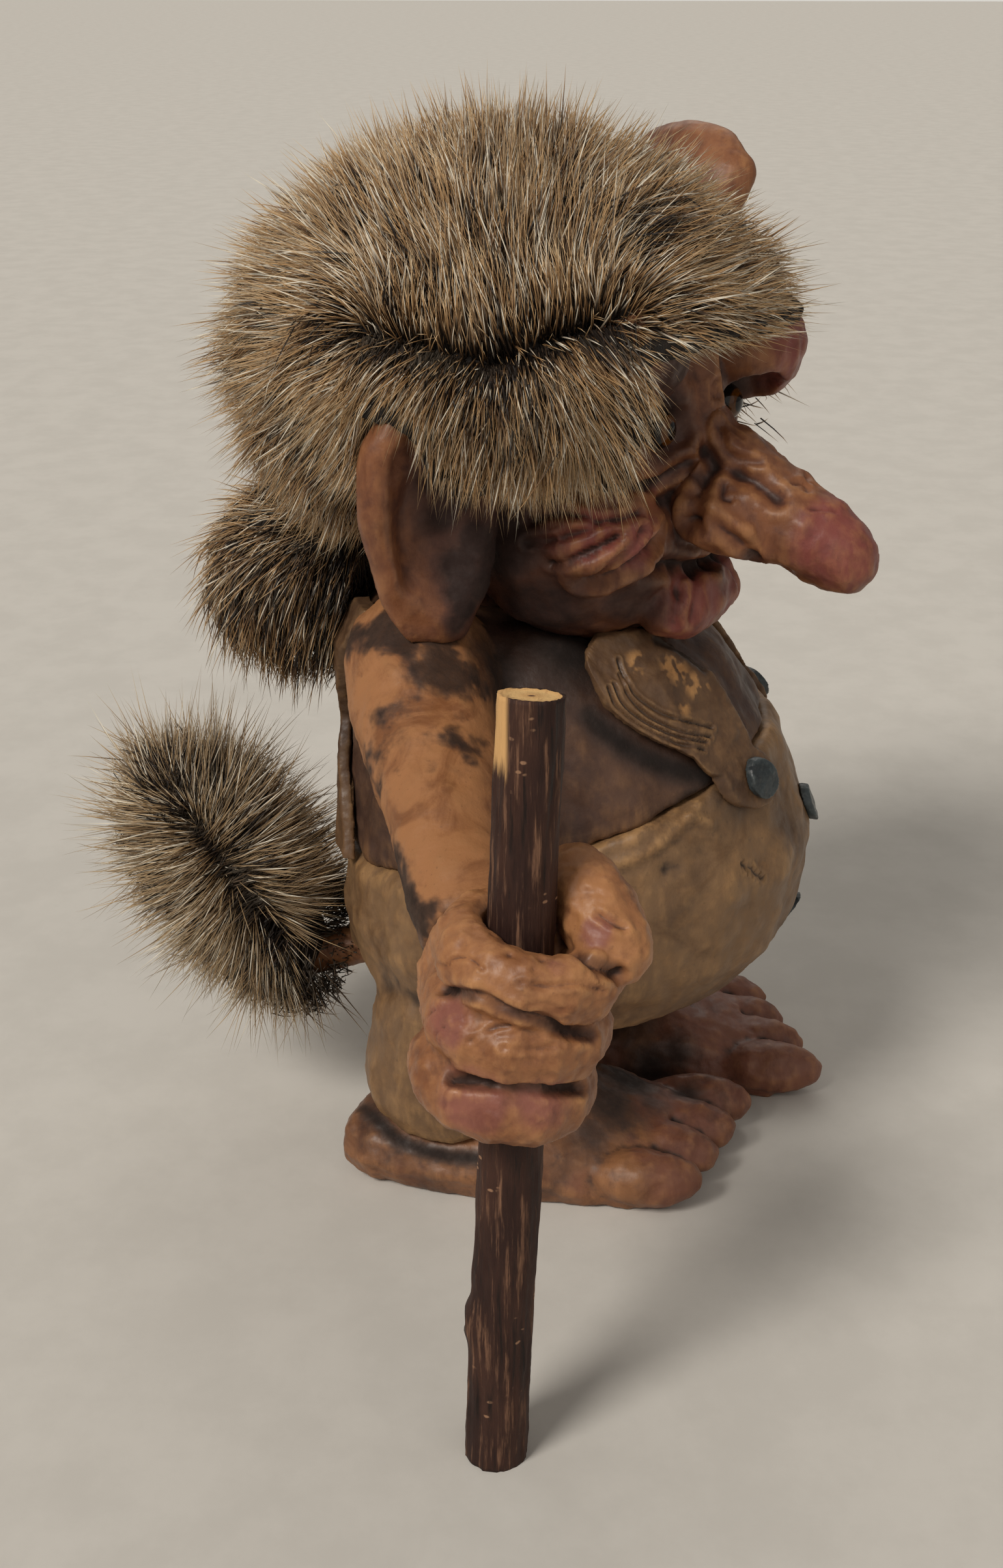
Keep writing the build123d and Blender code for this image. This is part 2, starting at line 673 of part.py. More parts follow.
# Staff: a tapered twig with a knot and a slanted saw cut
with BuildPart() as staff:
    low = staff_spot(-staff_foot_radius)
    high = staff_spot(staff_length + staff_top_radius)
    ends = [(low, staff_foot_radius), (high, staff_top_radius)]
    stack(ends, Vector(1, 0, 0), staff_axis, sides=round_sides)
    knot = staff_spot(knot_height) + Vector(0, staff_foot_radius - knot_sink, 0)
    egg(knot, staff_axis, knot_half_length, knot_radius)
    split(bisect_by=Plane.XY, keep=Keep.TOP)
    cut_up = Vector(sin(radians(staff_cut_slope)), 0, cos(radians(staff_cut_slope)))
    split(bisect_by=Plane(origin=staff_spot(staff_length), x_dir=(0, 1, 0), z_dir=cut_up), keep=Keep.BOTTOM)
staff.part.label = "staff"
export_step(staff.part, "parts/staff.step")

# Wig: pelts cut from one thick cap that is hollow for the head and the ears
with BuildPart() as cap:
    egg(face_spot(0, -wig_back, skull_height + wig_rise), up, wig_half_height, wig_radius, sides=round_sides)
    head_form(pelt_gap, mode=Mode.SUBTRACT)
    for side in (-1, 1):
        ear_form(side, pelt_gap, mode=Mode.SUBTRACT)
        ear_peg(side, pelt_gap, mode=Mode.SUBTRACT)

seam = pelt_gap / 2
crown_height = skull_height + crown_seam_rise
back_height = skull_height - back_edge_drop
nape_plane = Plane(origin=face_spot(0, -back_seam_back, skull_height), x_dir=head_left, z_dir=head_front)
with BuildPart() as fur_crown:
    add(cap.part)
    split(bisect_by=level_plane(crown_height + seam), keep=Keep.TOP)
fur_crown.part.label = "fur_crown"
export_step(fur_crown.part, "parts/fur_crown.step")

for side, lock, name in ((-1, right_lock_side, "fur_right"), (1, left_lock_side, "fur_left")):
    with BuildPart() as fur_side:
        add(cap.part)
        split(bisect_by=level_plane(crown_height - seam), keep=Keep.BOTTOM)
        split(bisect_by=level_plane(skull_height - side_edge_drop), keep=Keep.TOP)
        split(bisect_by=nape_plane.offset(seam), keep=Keep.TOP)
        edge = Plane(origin=face_spot(side * lock, 0, skull_height), x_dir=head_front, z_dir=head_left * side)
        split(bisect_by=edge, keep=Keep.TOP)
    fur_side.part.label = name
    export_step(fur_side.part, "parts/" + name + ".step")

with BuildPart() as fur_back:
    add(cap.part)
    split(bisect_by=level_plane(crown_height - seam), keep=Keep.BOTTOM)
    split(bisect_by=level_plane(back_height + seam), keep=Keep.TOP)
    split(bisect_by=nape_plane.offset(-seam), keep=Keep.BOTTOM)
fur_back.part.label = "fur_back"
export_step(fur_back.part, "parts/fur_back.step")

brace_lift = cloth_thickness + glue_gap
button_lift = brace_lift + brace_thickness + glue_gap
with BuildPart() as fur_nape:
    nape = spot(nape_side, nape_back, skull_height - nape_drop)
    egg(nape, up, nape_half_height, nape_radius, sides=round_sides)
    split(bisect_by=level_plane(back_height - seam), keep=Keep.BOTTOM)
    head_form(pelt_gap, mode=Mode.SUBTRACT)
    trunk(button_lift + pelt_gap, mode=Mode.SUBTRACT)
    arm_form(-1, pelt_gap, mode=Mode.SUBTRACT)
    arm_form(1, pelt_gap, mode=Mode.SUBTRACT)
fur_nape.part.label = "fur_nape"
export_step(fur_nape.part, "parts/fur_nape.step")

# Tail and its tuft
with BuildPart() as tail:
    tail_form()
tail.part.label = "tail"
export_step(tail.part, "parts/tail.step")

with BuildPart() as tail_tuft:
    egg(tail_bend + tail_rise * tuft_rise, tail_rise, tuft_half_length, tuft_radius, sides=round_sides)
    tail_form(pelt_gap, mode=Mode.SUBTRACT)
    trunk(cloth_thickness + pelt_gap, mode=Mode.SUBTRACT)
tail_tuft.part.label = "tail_tuft"
export_step(tail_tuft.part, "parts/tail_tuft.step")

# Braces: broad leaves over the chest with a tab for a button, and a crossed pair on the back
front_plane = Plane(origin=spot(0, -brace_start, 0), x_dir=(1, 0, 0), z_dir=(0, -1, 0))
tab_side = brace_side - brace_tab_in
leaf_length = collar_height - brace_tab_height
for side, name in ((-1, "right"), (1, "left")):
    with BuildPart() as brace:
        trunk_skin(brace_lift, brace_thickness)
        with BuildSketch(front_plane) as leaf:
            with BuildLine():
                ThreePointArc(
                    (side * (brace_side - brace_half_width * 0.7), collar_height),
                    (side * (brace_side - brace_half_width), brace_tab_height + leaf_length * 0.4),
                    (side * tab_side, brace_tab_height),
                )
                ThreePointArc(
                    (side * tab_side, brace_tab_height),
                    (side * (brace_side + brace_half_width), brace_tab_height + leaf_length * 0.5),
                    (side * (brace_side + brace_half_width * 0.3), collar_height),
                )
                Line(
                    (side * (brace_side + brace_half_width * 0.3), collar_height),
                    (side * (brace_side - brace_half_width * 0.7), collar_height),
                )
            make_face()
            with Locations((side * tab_side, brace_tab_height)):
                Circle(brace_tab_radius)
        extrude(leaf.sketch, amount=2 * belly_radius, mode=Mode.INTERSECT)
        head_form(glue_gap, mode=Mode.SUBTRACT)
    brace.part.label = name + "_brace"
    export_step(brace.part, "parts/" + name + "_brace.step")

rear_plane = Plane(origin=spot(0, 0, 0), x_dir=(-1, 0, 0), z_dir=(0, 1, 0))
with BuildPart() as back_braces:
    trunk_skin(brace_lift, brace_thickness)
    with BuildSketch(rear_plane) as crossed:
        for side in (-1, 1):
            with BuildLine():
                Polyline(
                    (side * back_brace_side - back_brace_width / 2, collar_height),
                    (side * back_brace_side + back_brace_width / 2, collar_height),
                    (back_brace_width / 2 - side * back_brace_side, waist_height - back_brace_drop),
                    (-back_brace_width / 2 - side * back_brace_side, waist_height - back_brace_drop),
                    close=True,
                )
            make_face()
    extrude(crossed.sketch, amount=2 * belly_radius, mode=Mode.INTERSECT)
    head_form(glue_gap, mode=Mode.SUBTRACT)
back_braces.part.label = "back_braces"
export_step(back_braces.part, "parts/back_braces.step")

# Buttons: round discs that follow the curve of the belly
tab_turn = degrees(asin(tab_side / (chest_radius + button_lift)))
for name, angle, height, lift in (
    ("right_brace_button", -tab_turn, brace_tab_height, button_lift),
    ("left_brace_button", tab_turn, brace_tab_height, button_lift),
    ("upper_fly_button", 0, upper_fly_height, brace_lift),
    ("lower_fly_button", 0, lower_fly_height, brace_lift),
):
    outward = Vector(sin(radians(angle)), -cos(radians(angle)), 0)
    with BuildPart() as button:
        trunk_skin(lift, button_thickness)
        with BuildSketch(Plane(origin=spot(0, -chest_forward, height), x_dir=up, z_dir=outward)) as disc:
            Circle(button_radius)
        extrude(disc.sketch, amount=2 * belly_radius, mode=Mode.INTERSECT)
    button.part.label = name
    export_step(button.part, "parts/" + name + ".step")
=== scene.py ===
import math
import bmesh
import bpy
import numpy as np
from mathutils import Matrix, Vector, noise
from mathutils.bvhtree import BVHTree


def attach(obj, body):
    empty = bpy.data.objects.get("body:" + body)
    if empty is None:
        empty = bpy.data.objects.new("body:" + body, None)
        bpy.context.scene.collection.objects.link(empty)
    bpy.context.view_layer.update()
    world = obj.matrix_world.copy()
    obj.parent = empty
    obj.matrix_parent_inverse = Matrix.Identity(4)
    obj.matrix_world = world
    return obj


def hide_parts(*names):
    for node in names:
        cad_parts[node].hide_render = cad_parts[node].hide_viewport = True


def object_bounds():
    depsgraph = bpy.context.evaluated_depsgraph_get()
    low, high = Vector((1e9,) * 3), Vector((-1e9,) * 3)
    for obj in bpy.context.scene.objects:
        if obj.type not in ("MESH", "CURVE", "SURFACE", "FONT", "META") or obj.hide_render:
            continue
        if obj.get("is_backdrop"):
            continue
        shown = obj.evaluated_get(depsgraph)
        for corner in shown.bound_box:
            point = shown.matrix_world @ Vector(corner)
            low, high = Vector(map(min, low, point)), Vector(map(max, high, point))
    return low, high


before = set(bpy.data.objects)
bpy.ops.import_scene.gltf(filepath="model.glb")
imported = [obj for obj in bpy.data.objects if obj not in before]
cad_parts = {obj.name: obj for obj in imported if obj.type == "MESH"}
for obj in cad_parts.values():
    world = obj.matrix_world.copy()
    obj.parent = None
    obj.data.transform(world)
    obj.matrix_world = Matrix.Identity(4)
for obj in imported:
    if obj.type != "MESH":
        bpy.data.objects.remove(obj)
cadLow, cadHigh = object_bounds()
scene = bpy.context.scene
mm = 0.001
noise.seed_set(5)  # otherwise the clock seeds noise_vector


def paint(*chart):  # red, green and blue as a paint chart gives them, 0 to 255
    return tuple(((c / 255 + 0.055) / 1.055) ** 2.4 if c > 10 else c / 3295 for c in chart) + (1.0,)


# Places on the head are given in mm: to the troll's left, to the front, and up from the floor
headPlace = {"middle": (31.2, -17.4), "turn": 27.0}
headTurn = math.radians(headPlace["turn"])
headLeft = np.array((math.cos(headTurn), -math.sin(headTurn), 0.0))
headFront = np.array((-math.sin(headTurn), -math.cos(headTurn), 0.0))
headMiddle = np.array(headPlace["middle"] + (0.0,))


def facePlace(left, front, height):
    return (headMiddle + headLeft * left + headFront * front + np.array((0, 0, height))) * mm


cadTrees = {node: BVHTree.FromPolygons(
    [v.co.copy() for v in thing.data.vertices], [tuple(p.vertices) for p in thing.data.polygons]
) for node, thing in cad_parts.items()}


# Shader writing: a wire takes part in sums, and one method makes every other node


class Wire:
    def __init__(self, finish, socket):
        self.finish = finish
        self.socket = socket

    def sum(self, operation, other, turned=False):
        pair = (other, self) if turned else (self, other)
        return self.finish.node("ShaderNodeMath", {"operation": operation}, {0: pair[0], 1: pair[1]})

    def __add__(self, other):
        return self.sum("ADD", other)

    def __sub__(self, other):
        return self.sum("SUBTRACT", other)

    def __rsub__(self, other):
        return self.sum("SUBTRACT", other, True)

    def __mul__(self, other):
        return self.sum("MULTIPLY", other)

    __radd__ = __add__
    __rmul__ = __mul__


class Finish:
    def __init__(self, name):
        self.material = bpy.data.materials.new(name)
        self.material.use_nodes = True
        self.tree = self.material.node_tree
        self.shader = self.tree.nodes["Principled BSDF"]

    def node(self, kind, setup=None, sockets=None, output=0):
        made = self.tree.nodes.new(kind)
        for key, value in (setup or {}).items():
            if key == "stops":
                ramp = made.color_ramp.elements
                while len(ramp) < len(value):
                    ramp.new(0.5)
                for stop, (place, color) in zip(ramp, value):
                    stop.position, stop.color = place, color
            else:
                setattr(made, key, value)
        self.feed(made, sockets or {})
        return Wire(self, made.outputs[output])

    def feed(self, made, sockets):
        for key, value in sockets.items():
            if isinstance(value, Wire):
                self.tree.links.new(value.socket, made.inputs[key])
            else:
                made.inputs[key].default_value = value

    def shade(self, sockets):
        self.feed(self.shader, sockets)

    def place(self, stretch=(1, 1, 1), turn=(0, 0, 0)):
        coords = self.node("ShaderNodeTexCoord", output="Object")
        return self.node("ShaderNodeMapping", {}, {"Vector": coords, "Rotation": turn, "Scale": stretch})

    def cloud(self, size, detail=4.0, rough=0.55, where=None, warp=0.0):  # size in mm
        sockets = {"Vector": where or self.place(), "Scale": 1 / (size * mm), "Detail": detail}
        sockets.update({"Roughness": rough, "Distortion": warp})
        return self.node("ShaderNodeTexNoise", {}, sockets)

    def cells(self, size, where):  # how far the nearest of scattered points is
        sockets = {"Vector": where, "Scale": 1 / (size * mm)}
        return self.node("ShaderNodeTexVoronoi", {"feature": "F1"}, sockets, "Distance")

    def step(self, value, low, high, start=0.0, end=1.0):
        sockets = {"Value": value, "From Min": low, "From Max": high, "To Min": start, "To Max": end}
        return self.node("ShaderNodeMapRange", {"interpolation_type": "SMOOTHSTEP"}, sockets)

    def blend(self, factor, first, second, mode="MIX"):
        setup = {"data_type": "RGBA", "blend_type": mode}
        return self.node("ShaderNodeMix", setup, {0: factor, 6: first, 7: second}, 2)

    def aim(self, operation, first, second=(0, 0, 0), output="Vector"):
        return self.node("ShaderNodeVectorMath", {"operation": operation}, {0: first, 1: second}, output)

    def axis(self, letter):
        coords = self.node("ShaderNodeTexCoord", output="Object")
        return self.node("ShaderNodeSeparateXYZ", {}, {0: coords}, letter)

    def ramp(self, value, stops):
        return self.node("ShaderNodeValToRGB", {"stops": stops}, {"Fac": value})

    def read(self, name):
        return self.node("ShaderNodeAttribute", {"attribute_name": name}, output="Fac")

    def relief(self, height, depth):  # depth in mm
        return self.node("ShaderNodeBump", {}, {"Strength": 1.0, "Distance": depth * mm, "Height": height})


# Clay skins: copies of the cast pieces, rounded and then worked with a modelling tool


def unit(rows):
    return rows / np.maximum(np.linalg.norm(rows, axis=1), 1e-12)[:, None]


def evaluated(thing):
    graph = bpy.context.evaluated_depsgraph_get()
    return bpy.data.meshes.new_from_object(thing.evaluated_get(graph))


def addPiece(name, mesh, body, replaced, finish):
    piece = bpy.data.objects.new(name, mesh)
    scene.collection.objects.link(piece)
    for coat in finish if isinstance(finish, (list, tuple)) else (finish,):
        mesh.materials.append(coat.material)
    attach(piece, body)
    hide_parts(*replaced)


def smoothLine(points, steps=6):  # a flowing line through the points
    ends = [2 * points[0] - points[1]] + list(points) + [2 * points[-1] - points[-2]]
    line = []
    for i in range(1, len(ends) - 2):
        a, b, c, d = ends[i - 1 : i + 3]
        for t in np.arange(steps) / steps:
            bend = 2 * a - 5 * b + 4 * c - d
            line.append(b + 0.5 * t * (c - a + t * (bend + t * (3 * b - 3 * c + d - a))))
    return np.array(line + [ends[-2]])


antiqueAndShadePlan = {"crease": 0.55, "basin": 1.6, "ridge": 0.45, "basinShare": 0.5}  # mm that take all the paint: the creases' dark wash, painted shade in broad hollows, and ridge paint that is partly wear and partly painted highlight


class Skin:
    def __init__(self, name, nodes, voxel, rounds, fatten=0.3):
        shape = bmesh.new()
        for node in nodes:
            part = bmesh.new()
            part.from_mesh(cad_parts[node].data)
            bmesh.ops.remove_doubles(part, verts=part.verts, dist=1e-6)
            part.normal_update()
            for vert in part.verts:
                vert.co += vert.normal * (fatten * mm)  # glued faces overlap a little
            copy = bpy.data.meshes.new("copy")
            part.to_mesh(copy)
            part.free()
            shape.from_mesh(copy)
            bpy.data.meshes.remove(copy)
        rough = bpy.data.meshes.new(name)
        shape.to_mesh(rough)
        shape.free()
        blank = bpy.data.objects.new(name + "Blank", rough)
        scene.collection.objects.link(blank)
        remesh = blank.modifiers.new("remesh", "REMESH")
        remesh.mode = "VOXEL"
        remesh.voxel_size = voxel * mm * 1.0
        soften = blank.modifiers.new("soften", "SMOOTH")
        soften.factor = 0.5
        soften.iterations = rounds
        self.mesh = evaluated(blank)
        self.mesh.name = name
        self.name = name
        self.nodes = nodes
        bpy.data.objects.remove(blank)
        bpy.data.meshes.remove(rough)
        self.keepOuter()
        self.look()

    def keepOuter(self):  # closed hollows inside the cast are dropped
        shape = bmesh.new()
        shape.from_mesh(self.mesh)
        left = set(shape.verts)
        shells = []
        while left:
            shell, edge = set(), [left.pop()]
            while edge:
                vert = edge.pop()
                shell.add(vert)
                for link in vert.link_edges:
                    other = link.other_vert(vert)
                    if other in left:
                        left.discard(other)
                        edge.append(other)
            shells.append(shell)
        shells.sort(key=len)
        for shell in shells[:-1]:
            bmesh.ops.delete(shape, geom=list(shell), context="VERTS")
        bmesh.ops.recalc_face_normals(shape, faces=shape.faces)
        for face in shape.faces:
            face.smooth = True
        shape.to_mesh(self.mesh)
        shape.free()

    def look(self):
        count = len(self.mesh.vertices)
        self.places = np.empty(count * 3)
        self.mesh.vertices.foreach_get("co", self.places)
        self.places = self.places.reshape(-1, 3)
        self.outward = np.empty(count * 3)
        self.mesh.vertex_normals.foreach_get("vector", self.outward)
        self.outward = self.outward.reshape(-1, 3)

    def push(self, amount):  # mm along the surface's own direction
        self.move(self.outward * (amount * mm)[:, None])

    def move(self, offsets):
        self.places += offsets
        self.mesh.vertices.foreach_set("co", self.places.ravel())
        self.mesh.update()
        self.look()

    def fromLine(self, points):  # mm from each place to a flowing line
        line = smoothLine([np.array(p) for p in points])
        nearest = np.full(len(self.places), 1e3)
        for a, b in zip(line[:-1], line[1:]):
            run = b - a
            along = np.clip((self.places - a) @ run / max(run @ run, 1e-12), 0, 1)
            gap = np.linalg.norm(self.places - a - along[:, None] * run, axis=1)
            nearest = np.minimum(nearest, gap / mm)
        return nearest

    def lines(self, strokes):  # each: points, width, depth, and how much clay is pushed up beside it
        amount = np.zeros(len(self.places))
        faces = [p.vertices for p in self.mesh.polygons]
        ground = BVHTree.FromPolygons([Vector(p) for p in self.places], faces)
        for points, width, depth, lip in strokes:
            gap = self.fromLine([ground.find_nearest(Vector(p))[0] for p in points])
            amount -= depth * np.exp(-((gap / width) ** 2))
            if lip:
                amount += lip * np.exp(-((gap / width - 1.9) ** 2))  # it stands 1.9 widths out
        self.push(amount)

    def lumps(self, spots):  # each: place, radius, height
        amount = np.zeros(len(self.places))
        for place, radius, height in spots:
            gap = np.linalg.norm(self.places - np.array(place), axis=1) / mm
            amount += height * np.exp(-((gap / radius) ** 2))
        self.push(amount)

    def cloud(self, size, octaves=3, offset=0.0):  # about -1 to 1, size in mm
        spread = self.places / (size * mm) + offset
        return np.array([noise.fractal(p, 0.7, 2.1, octaves) for p in spread])

    def handwork(self, sizes):  # each: size and height in mm, of the lumps that fingers leave
        for size, height in sizes:
            self.push(self.cloud(size) * height)

    def pits(self, size, depth, share, offset=0.0):  # small holes from bubbles in the cast
        spread = self.places / (size * mm) + offset
        gap = np.array([noise.voronoi(p)[0][0] for p in spread])
        chosen = np.clip((self.cloud(size * 6, 1, offset) + share) * 3, 0, 1)
        self.push(-depth * chosen * np.exp(-((gap / 0.22) ** 2)))

    def relaxed(self, rounds, share=1.0):  # each place pulled towards its neighbours
        edges = np.empty(len(self.mesh.edges) * 2, dtype=np.int32)
        self.mesh.edges.foreach_get("vertices", edges)
        start, end = edges[::2], edges[1::2]
        count = len(self.places)
        links = np.maximum(np.bincount(start, minlength=count) + np.bincount(end, minlength=count), 1)
        soft = self.places.copy()
        for _ in range(rounds):
            for axis in range(3):
                column = soft[:, axis]
                pull = np.bincount(start, column[end], count) + np.bincount(end, column[start], count)
                column += 0.6 * share * (pull / links - column)
        return soft

    def soften(self, share, rounds):
        self.move(self.relaxed(rounds, share) - self.places)

    def hollow(self, rounds, reach):  # 1 in a crease, 0 on open ground, -1 on a ridge
        soft = self.relaxed(rounds)
        lift = np.einsum("ij,ij->i", soft - self.places, self.outward) / (reach * mm)
        return np.clip(lift, -1, 1)

    def mark(self, name, values):
        layer = self.mesh.attributes.new(name, "FLOAT", "POINT")
        layer.data.foreach_set("value", np.ascontiguousarray(values, dtype=np.float32))

    def dab(self, spots, spread):  # soft round patches of paint: place, radius, strength
        amount = np.zeros(len(self.places))
        for place, radius, strength in spots:
            gap = np.linalg.norm(self.places - np.array(place), axis=1) / mm
            amount = np.maximum(amount, strength * np.clip((radius - gap) / (radius * spread), 0, 1))
        return amount

    def trace(self, strokes):  # soft painted lines: points, width, strength
        amount = np.zeros(len(self.places))
        for points, width, strength in strokes:
            gap = self.fromLine(np.array(points) * mm)
            amount = np.maximum(amount, strength * np.exp(-((gap / width) ** 2)))
        return amount

    def gapTo(self, node):  # mm from each place to a CAD piece
        tree = cadTrees[node]
        return np.array([tree.find_nearest(Vector(p))[3] for p in self.places]) / mm

    def antiqueAndShade(self, grime=None, rosy=None, fine=14, wide=60, deep=0.7):  # dark paint in the creases, partly the figure's own dark wash and partly painted shade, deepest in broad hollows and at the given spots of painted shade; light paint on the ridges
        crease = np.clip(self.hollow(fine, antiqueAndShadePlan["crease"]), 0, 1)
        basin = np.clip(self.hollow(wide, antiqueAndShadePlan["basin"]), 0, 1)
        ridge = np.clip(-self.hollow(fine, antiqueAndShadePlan["ridge"]), 0, 1)
        dark = np.clip(crease * deep + basin * antiqueAndShadePlan["basinShare"], 0, 1)
        self.mark("grime", np.clip(dark if grime is None else np.maximum(dark, grime), 0, 1))
        self.mark("ridge", ridge)
        self.mark("rosy", np.zeros(len(self.places)) if rosy is None else np.clip(rosy, 0, 1))

    def done(self, body, finish):
        addPiece(self.name, self.mesh, body, self.nodes, finish)
        print("skin", self.name, len(self.mesh.polygons), "faces")


def clayFinish(name, coat):  # hand-painted cast clay with dark paint rubbed into its creases, painted shade in its hollows and under things, and light paint on its ridges that is partly wear and partly painted highlight
    look = Finish(name)
    grime, rosy, ridge = look.read("grime"), look.read("rosy"), look.read("ridge")
    broad = look.cloud(coat["patch"], 5.0, 0.62, warp=0.6)
    small = look.cloud(coat["patch"] / 6, 4.0, 0.6)
    fleck = look.cloud(1.1, 2.0, 0.5)
    streak = look.cloud(3.0, 4.0, 0.6, look.place((1, 1, 0.25), (0.4, 0.3, 0.2)))
    color = look.blend(look.step(broad, 0.36, 0.66), coat["base"], coat["second"])
    color = look.blend(look.step(small, 0.5, 0.72) * coat["mottle"], color, coat["third"])
    pink = look.step(rosy + (small - 0.5) * 0.5, 0.25, 0.8)
    color = look.blend(pink * coat["rosiness"], color, coat["rosy"])
    # light paint on the ridges, partly wear and partly painted highlight
    color = look.blend(ridge * look.step(streak, 0.35, 0.65) * coat["worn"], color, coat["light"])
    blotch = look.step(look.cloud(coat["patch"] * 0.5, 6.0, 0.65, warp=0.8), 0.46, 0.7) * coat["blotch"]
    color = look.blend(blotch, color, coat["tint"], "MULTIPLY")
    smear = look.step(broad + small * 0.6, 0.86, 1.06) * coat["smear"]
    color = look.blend(smear, color, coat["dirt"])
    # dark brown and then near black in the creases and at the marked spots: partly the dark wash, partly
    # painted shade in hollows and under things
    stainAndShade = grime + (small - 0.5) * 0.3 + (fleck - 0.5) * 0.15
    color = look.blend(look.step(stainAndShade, 0.1, 0.7) * 0.85, color, coat["dirt"])
    shadow = look.step(stainAndShade, 0.5, 1.05)
    color = look.blend(shadow * coat["antiqueAndShade"], color, coat["grime"])
    color = look.blend(look.step(fleck, 0.66, 0.76) * 0.25, color, coat["dirt"])
    wet = look.step(small, 0.3, 0.7, coat["rough"] - 0.1, coat["rough"] + 0.12)
    bumps = small * 0.5 + fleck * 0.22 + streak * 0.3
    look.shade({
        "Base Color": color, "Roughness": wet + shadow * 0.25, "Normal": look.relief(bumps, coat["relief"]),
        "Specular IOR Level": 0.32, "Coat Roughness": 0.35, "Coat Weight": (1 - shadow) * coat["varnish"],
    })
    return look


# In each paint the two darkest colours also paint shade in hollows and under things, and the light colour
# on the ridges is partly wear and partly painted highlight
skinPaint = {
    "base": paint(168, 116, 75), "second": paint(142, 94, 61), "third": paint(120, 77, 53),
    "rosy": paint(136, 82, 72), "light": paint(208, 154, 100), "dirt": paint(94, 61, 45),
    "grime": paint(42, 27, 22), "patch": 26.0, "mottle": 0.55, "rosiness": 0.85, "worn": 0.5,
    "blotch": 0.7, "tint": paint(196, 176, 166),
    "smear": 0.4, "antiqueAndShade": 0.92, "rough": 0.5, "relief": 0.35, "varnish": 0.12,
}
# The head's paint: a darker copy of the skin paint, partly the head's own darker rosy brown and partly
# painted shade
faceShadedPaint = dict(
    skinPaint, base=paint(134, 85, 54), second=paint(102, 62, 43), third=paint(88, 52, 41),
    rosy=paint(128, 65, 60), light=paint(182, 130, 84), dirt=paint(66, 38, 30), grime=paint(32, 19, 16),
)
footPaint = dict(
    skinPaint, base=paint(136, 93, 62), second=paint(98, 68, 51), third=paint(84, 60, 48),
    rosy=paint(124, 78, 62), light=paint(178, 128, 86), dirt=paint(64, 48, 41), grime=paint(31, 23, 20),
)
shirtPaint = {
    "base": paint(86, 60, 45), "second": paint(62, 42, 35), "third": paint(104, 74, 52),
    "rosy": paint(166, 114, 73), "light": paint(154, 112, 72), "dirt": paint(56, 39, 32),
    "grime": paint(26, 19, 16), "patch": 30.0, "mottle": 0.5, "rosiness": 0.95, "worn": 0.4,
    "blotch": 0.85, "tint": paint(188, 172, 164),
    "smear": 0.5, "antiqueAndShade": 0.95, "rough": 0.55, "relief": 0.4, "varnish": 0.08,
}
trouserPaint = {
    "base": paint(124, 95, 66), "second": paint(102, 77, 55), "third": paint(142, 107, 71),
    "rosy": paint(128, 88, 70), "light": paint(176, 136, 90), "dirt": paint(70, 54, 42),
    "grime": paint(30, 23, 19), "patch": 34.0, "mottle": 0.55, "rosiness": 0.6, "worn": 0.6,
    "blotch": 0.7, "tint": paint(196, 184, 172),
    "smear": 0.5, "antiqueAndShade": 0.95, "rough": 0.52, "relief": 0.4, "varnish": 0.1,
}
skinFinish = clayFinish("paintedSkin", skinPaint)
faceShadedFinish = clayFinish("paintedShadedFace", faceShadedPaint)
footFinish = clayFinish("paintedFeet", footPaint)
shirtFinish = clayFinish("paintedShirt", shirtPaint)
trouserFinish = clayFinish("paintedTrousers", trouserPaint)
print("clay finishes ready")


# Camera, floor and light

cameraPlan = {
    "place": (-433.0, -50.0, 292.7), "look": (0.9168, 0.0801, -0.3907), "sensor": 36.0,
    "focal": 3000, "width": 1540,  # in the photograph's pixels
}
camera = bpy.data.objects.new("camera", bpy.data.cameras.new("camera"))
scene.collection.objects.link(camera)
camera.location = Vector(cameraPlan["place"]) * mm
camera.rotation_euler = Vector(cameraPlan["look"]).to_track_quat("-Z", "Y").to_euler()
camera.data.sensor_fit = "HORIZONTAL"
camera.data.sensor_width = cameraPlan["sensor"]
camera.data.lens = cameraPlan["sensor"] * cameraPlan["focal"] / cameraPlan["width"]
camera.data.clip_start = 0.01
scene.camera = camera

floorPlan = {"size": 14.0, "color": paint(208, 204, 197), "shade": paint(202, 198, 191)}
floorMesh = bpy.data.meshes.new("floor")
floorShape = bmesh.new()
bmesh.ops.create_grid(floorShape, x_segments=2, y_segments=2, size=floorPlan["size"])
floorShape.to_mesh(floorMesh)
floorShape.free()
floor = bpy.data.objects.new("floor", floorMesh)
scene.collection.objects.link(floor)
floorFinish = Finish("paleFloor")
felt = floorFinish.cloud(30.0, 6.0, 0.65)
floorColor = floorFinish.blend(floorFinish.step(felt, 0.35, 0.65), floorPlan["color"], floorPlan["shade"])
floorFinish.shade({"Base Color": floorColor, "Roughness": 0.9, "Specular IOR Level": 0.1})
floorMesh.materials.append(floorFinish.material)
floor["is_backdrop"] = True

lightPlan = [  # the way that the light comes from, strength, softness in degrees
    ((-0.66, 0.50, 0.80), 2.1, 20.0),
    ((-0.75, -0.60, 0.45), 0.35, 60.0),
    ((0.80, 0.10, 0.70), 0.5, 50.0),
]
for number, (way, strength, softness) in enumerate(lightPlan):
    lamp = bpy.data.lights.new("lamp%d" % number, "SUN")
    lamp.energy, lamp.angle, lamp.color = strength, math.radians(softness), (1.0, 0.95, 0.88)
    holder = bpy.data.objects.new("lamp%d" % number, lamp)
    scene.collection.objects.link(holder)
    holder.location = Vector(way)
    holder.rotation_euler = (-Vector(way)).to_track_quat("-Z", "Y").to_euler()
world = scene.world or bpy.data.worlds.new("world")
scene.world = world
world.use_nodes = True
sky = world.node_tree.nodes
sky.clear()
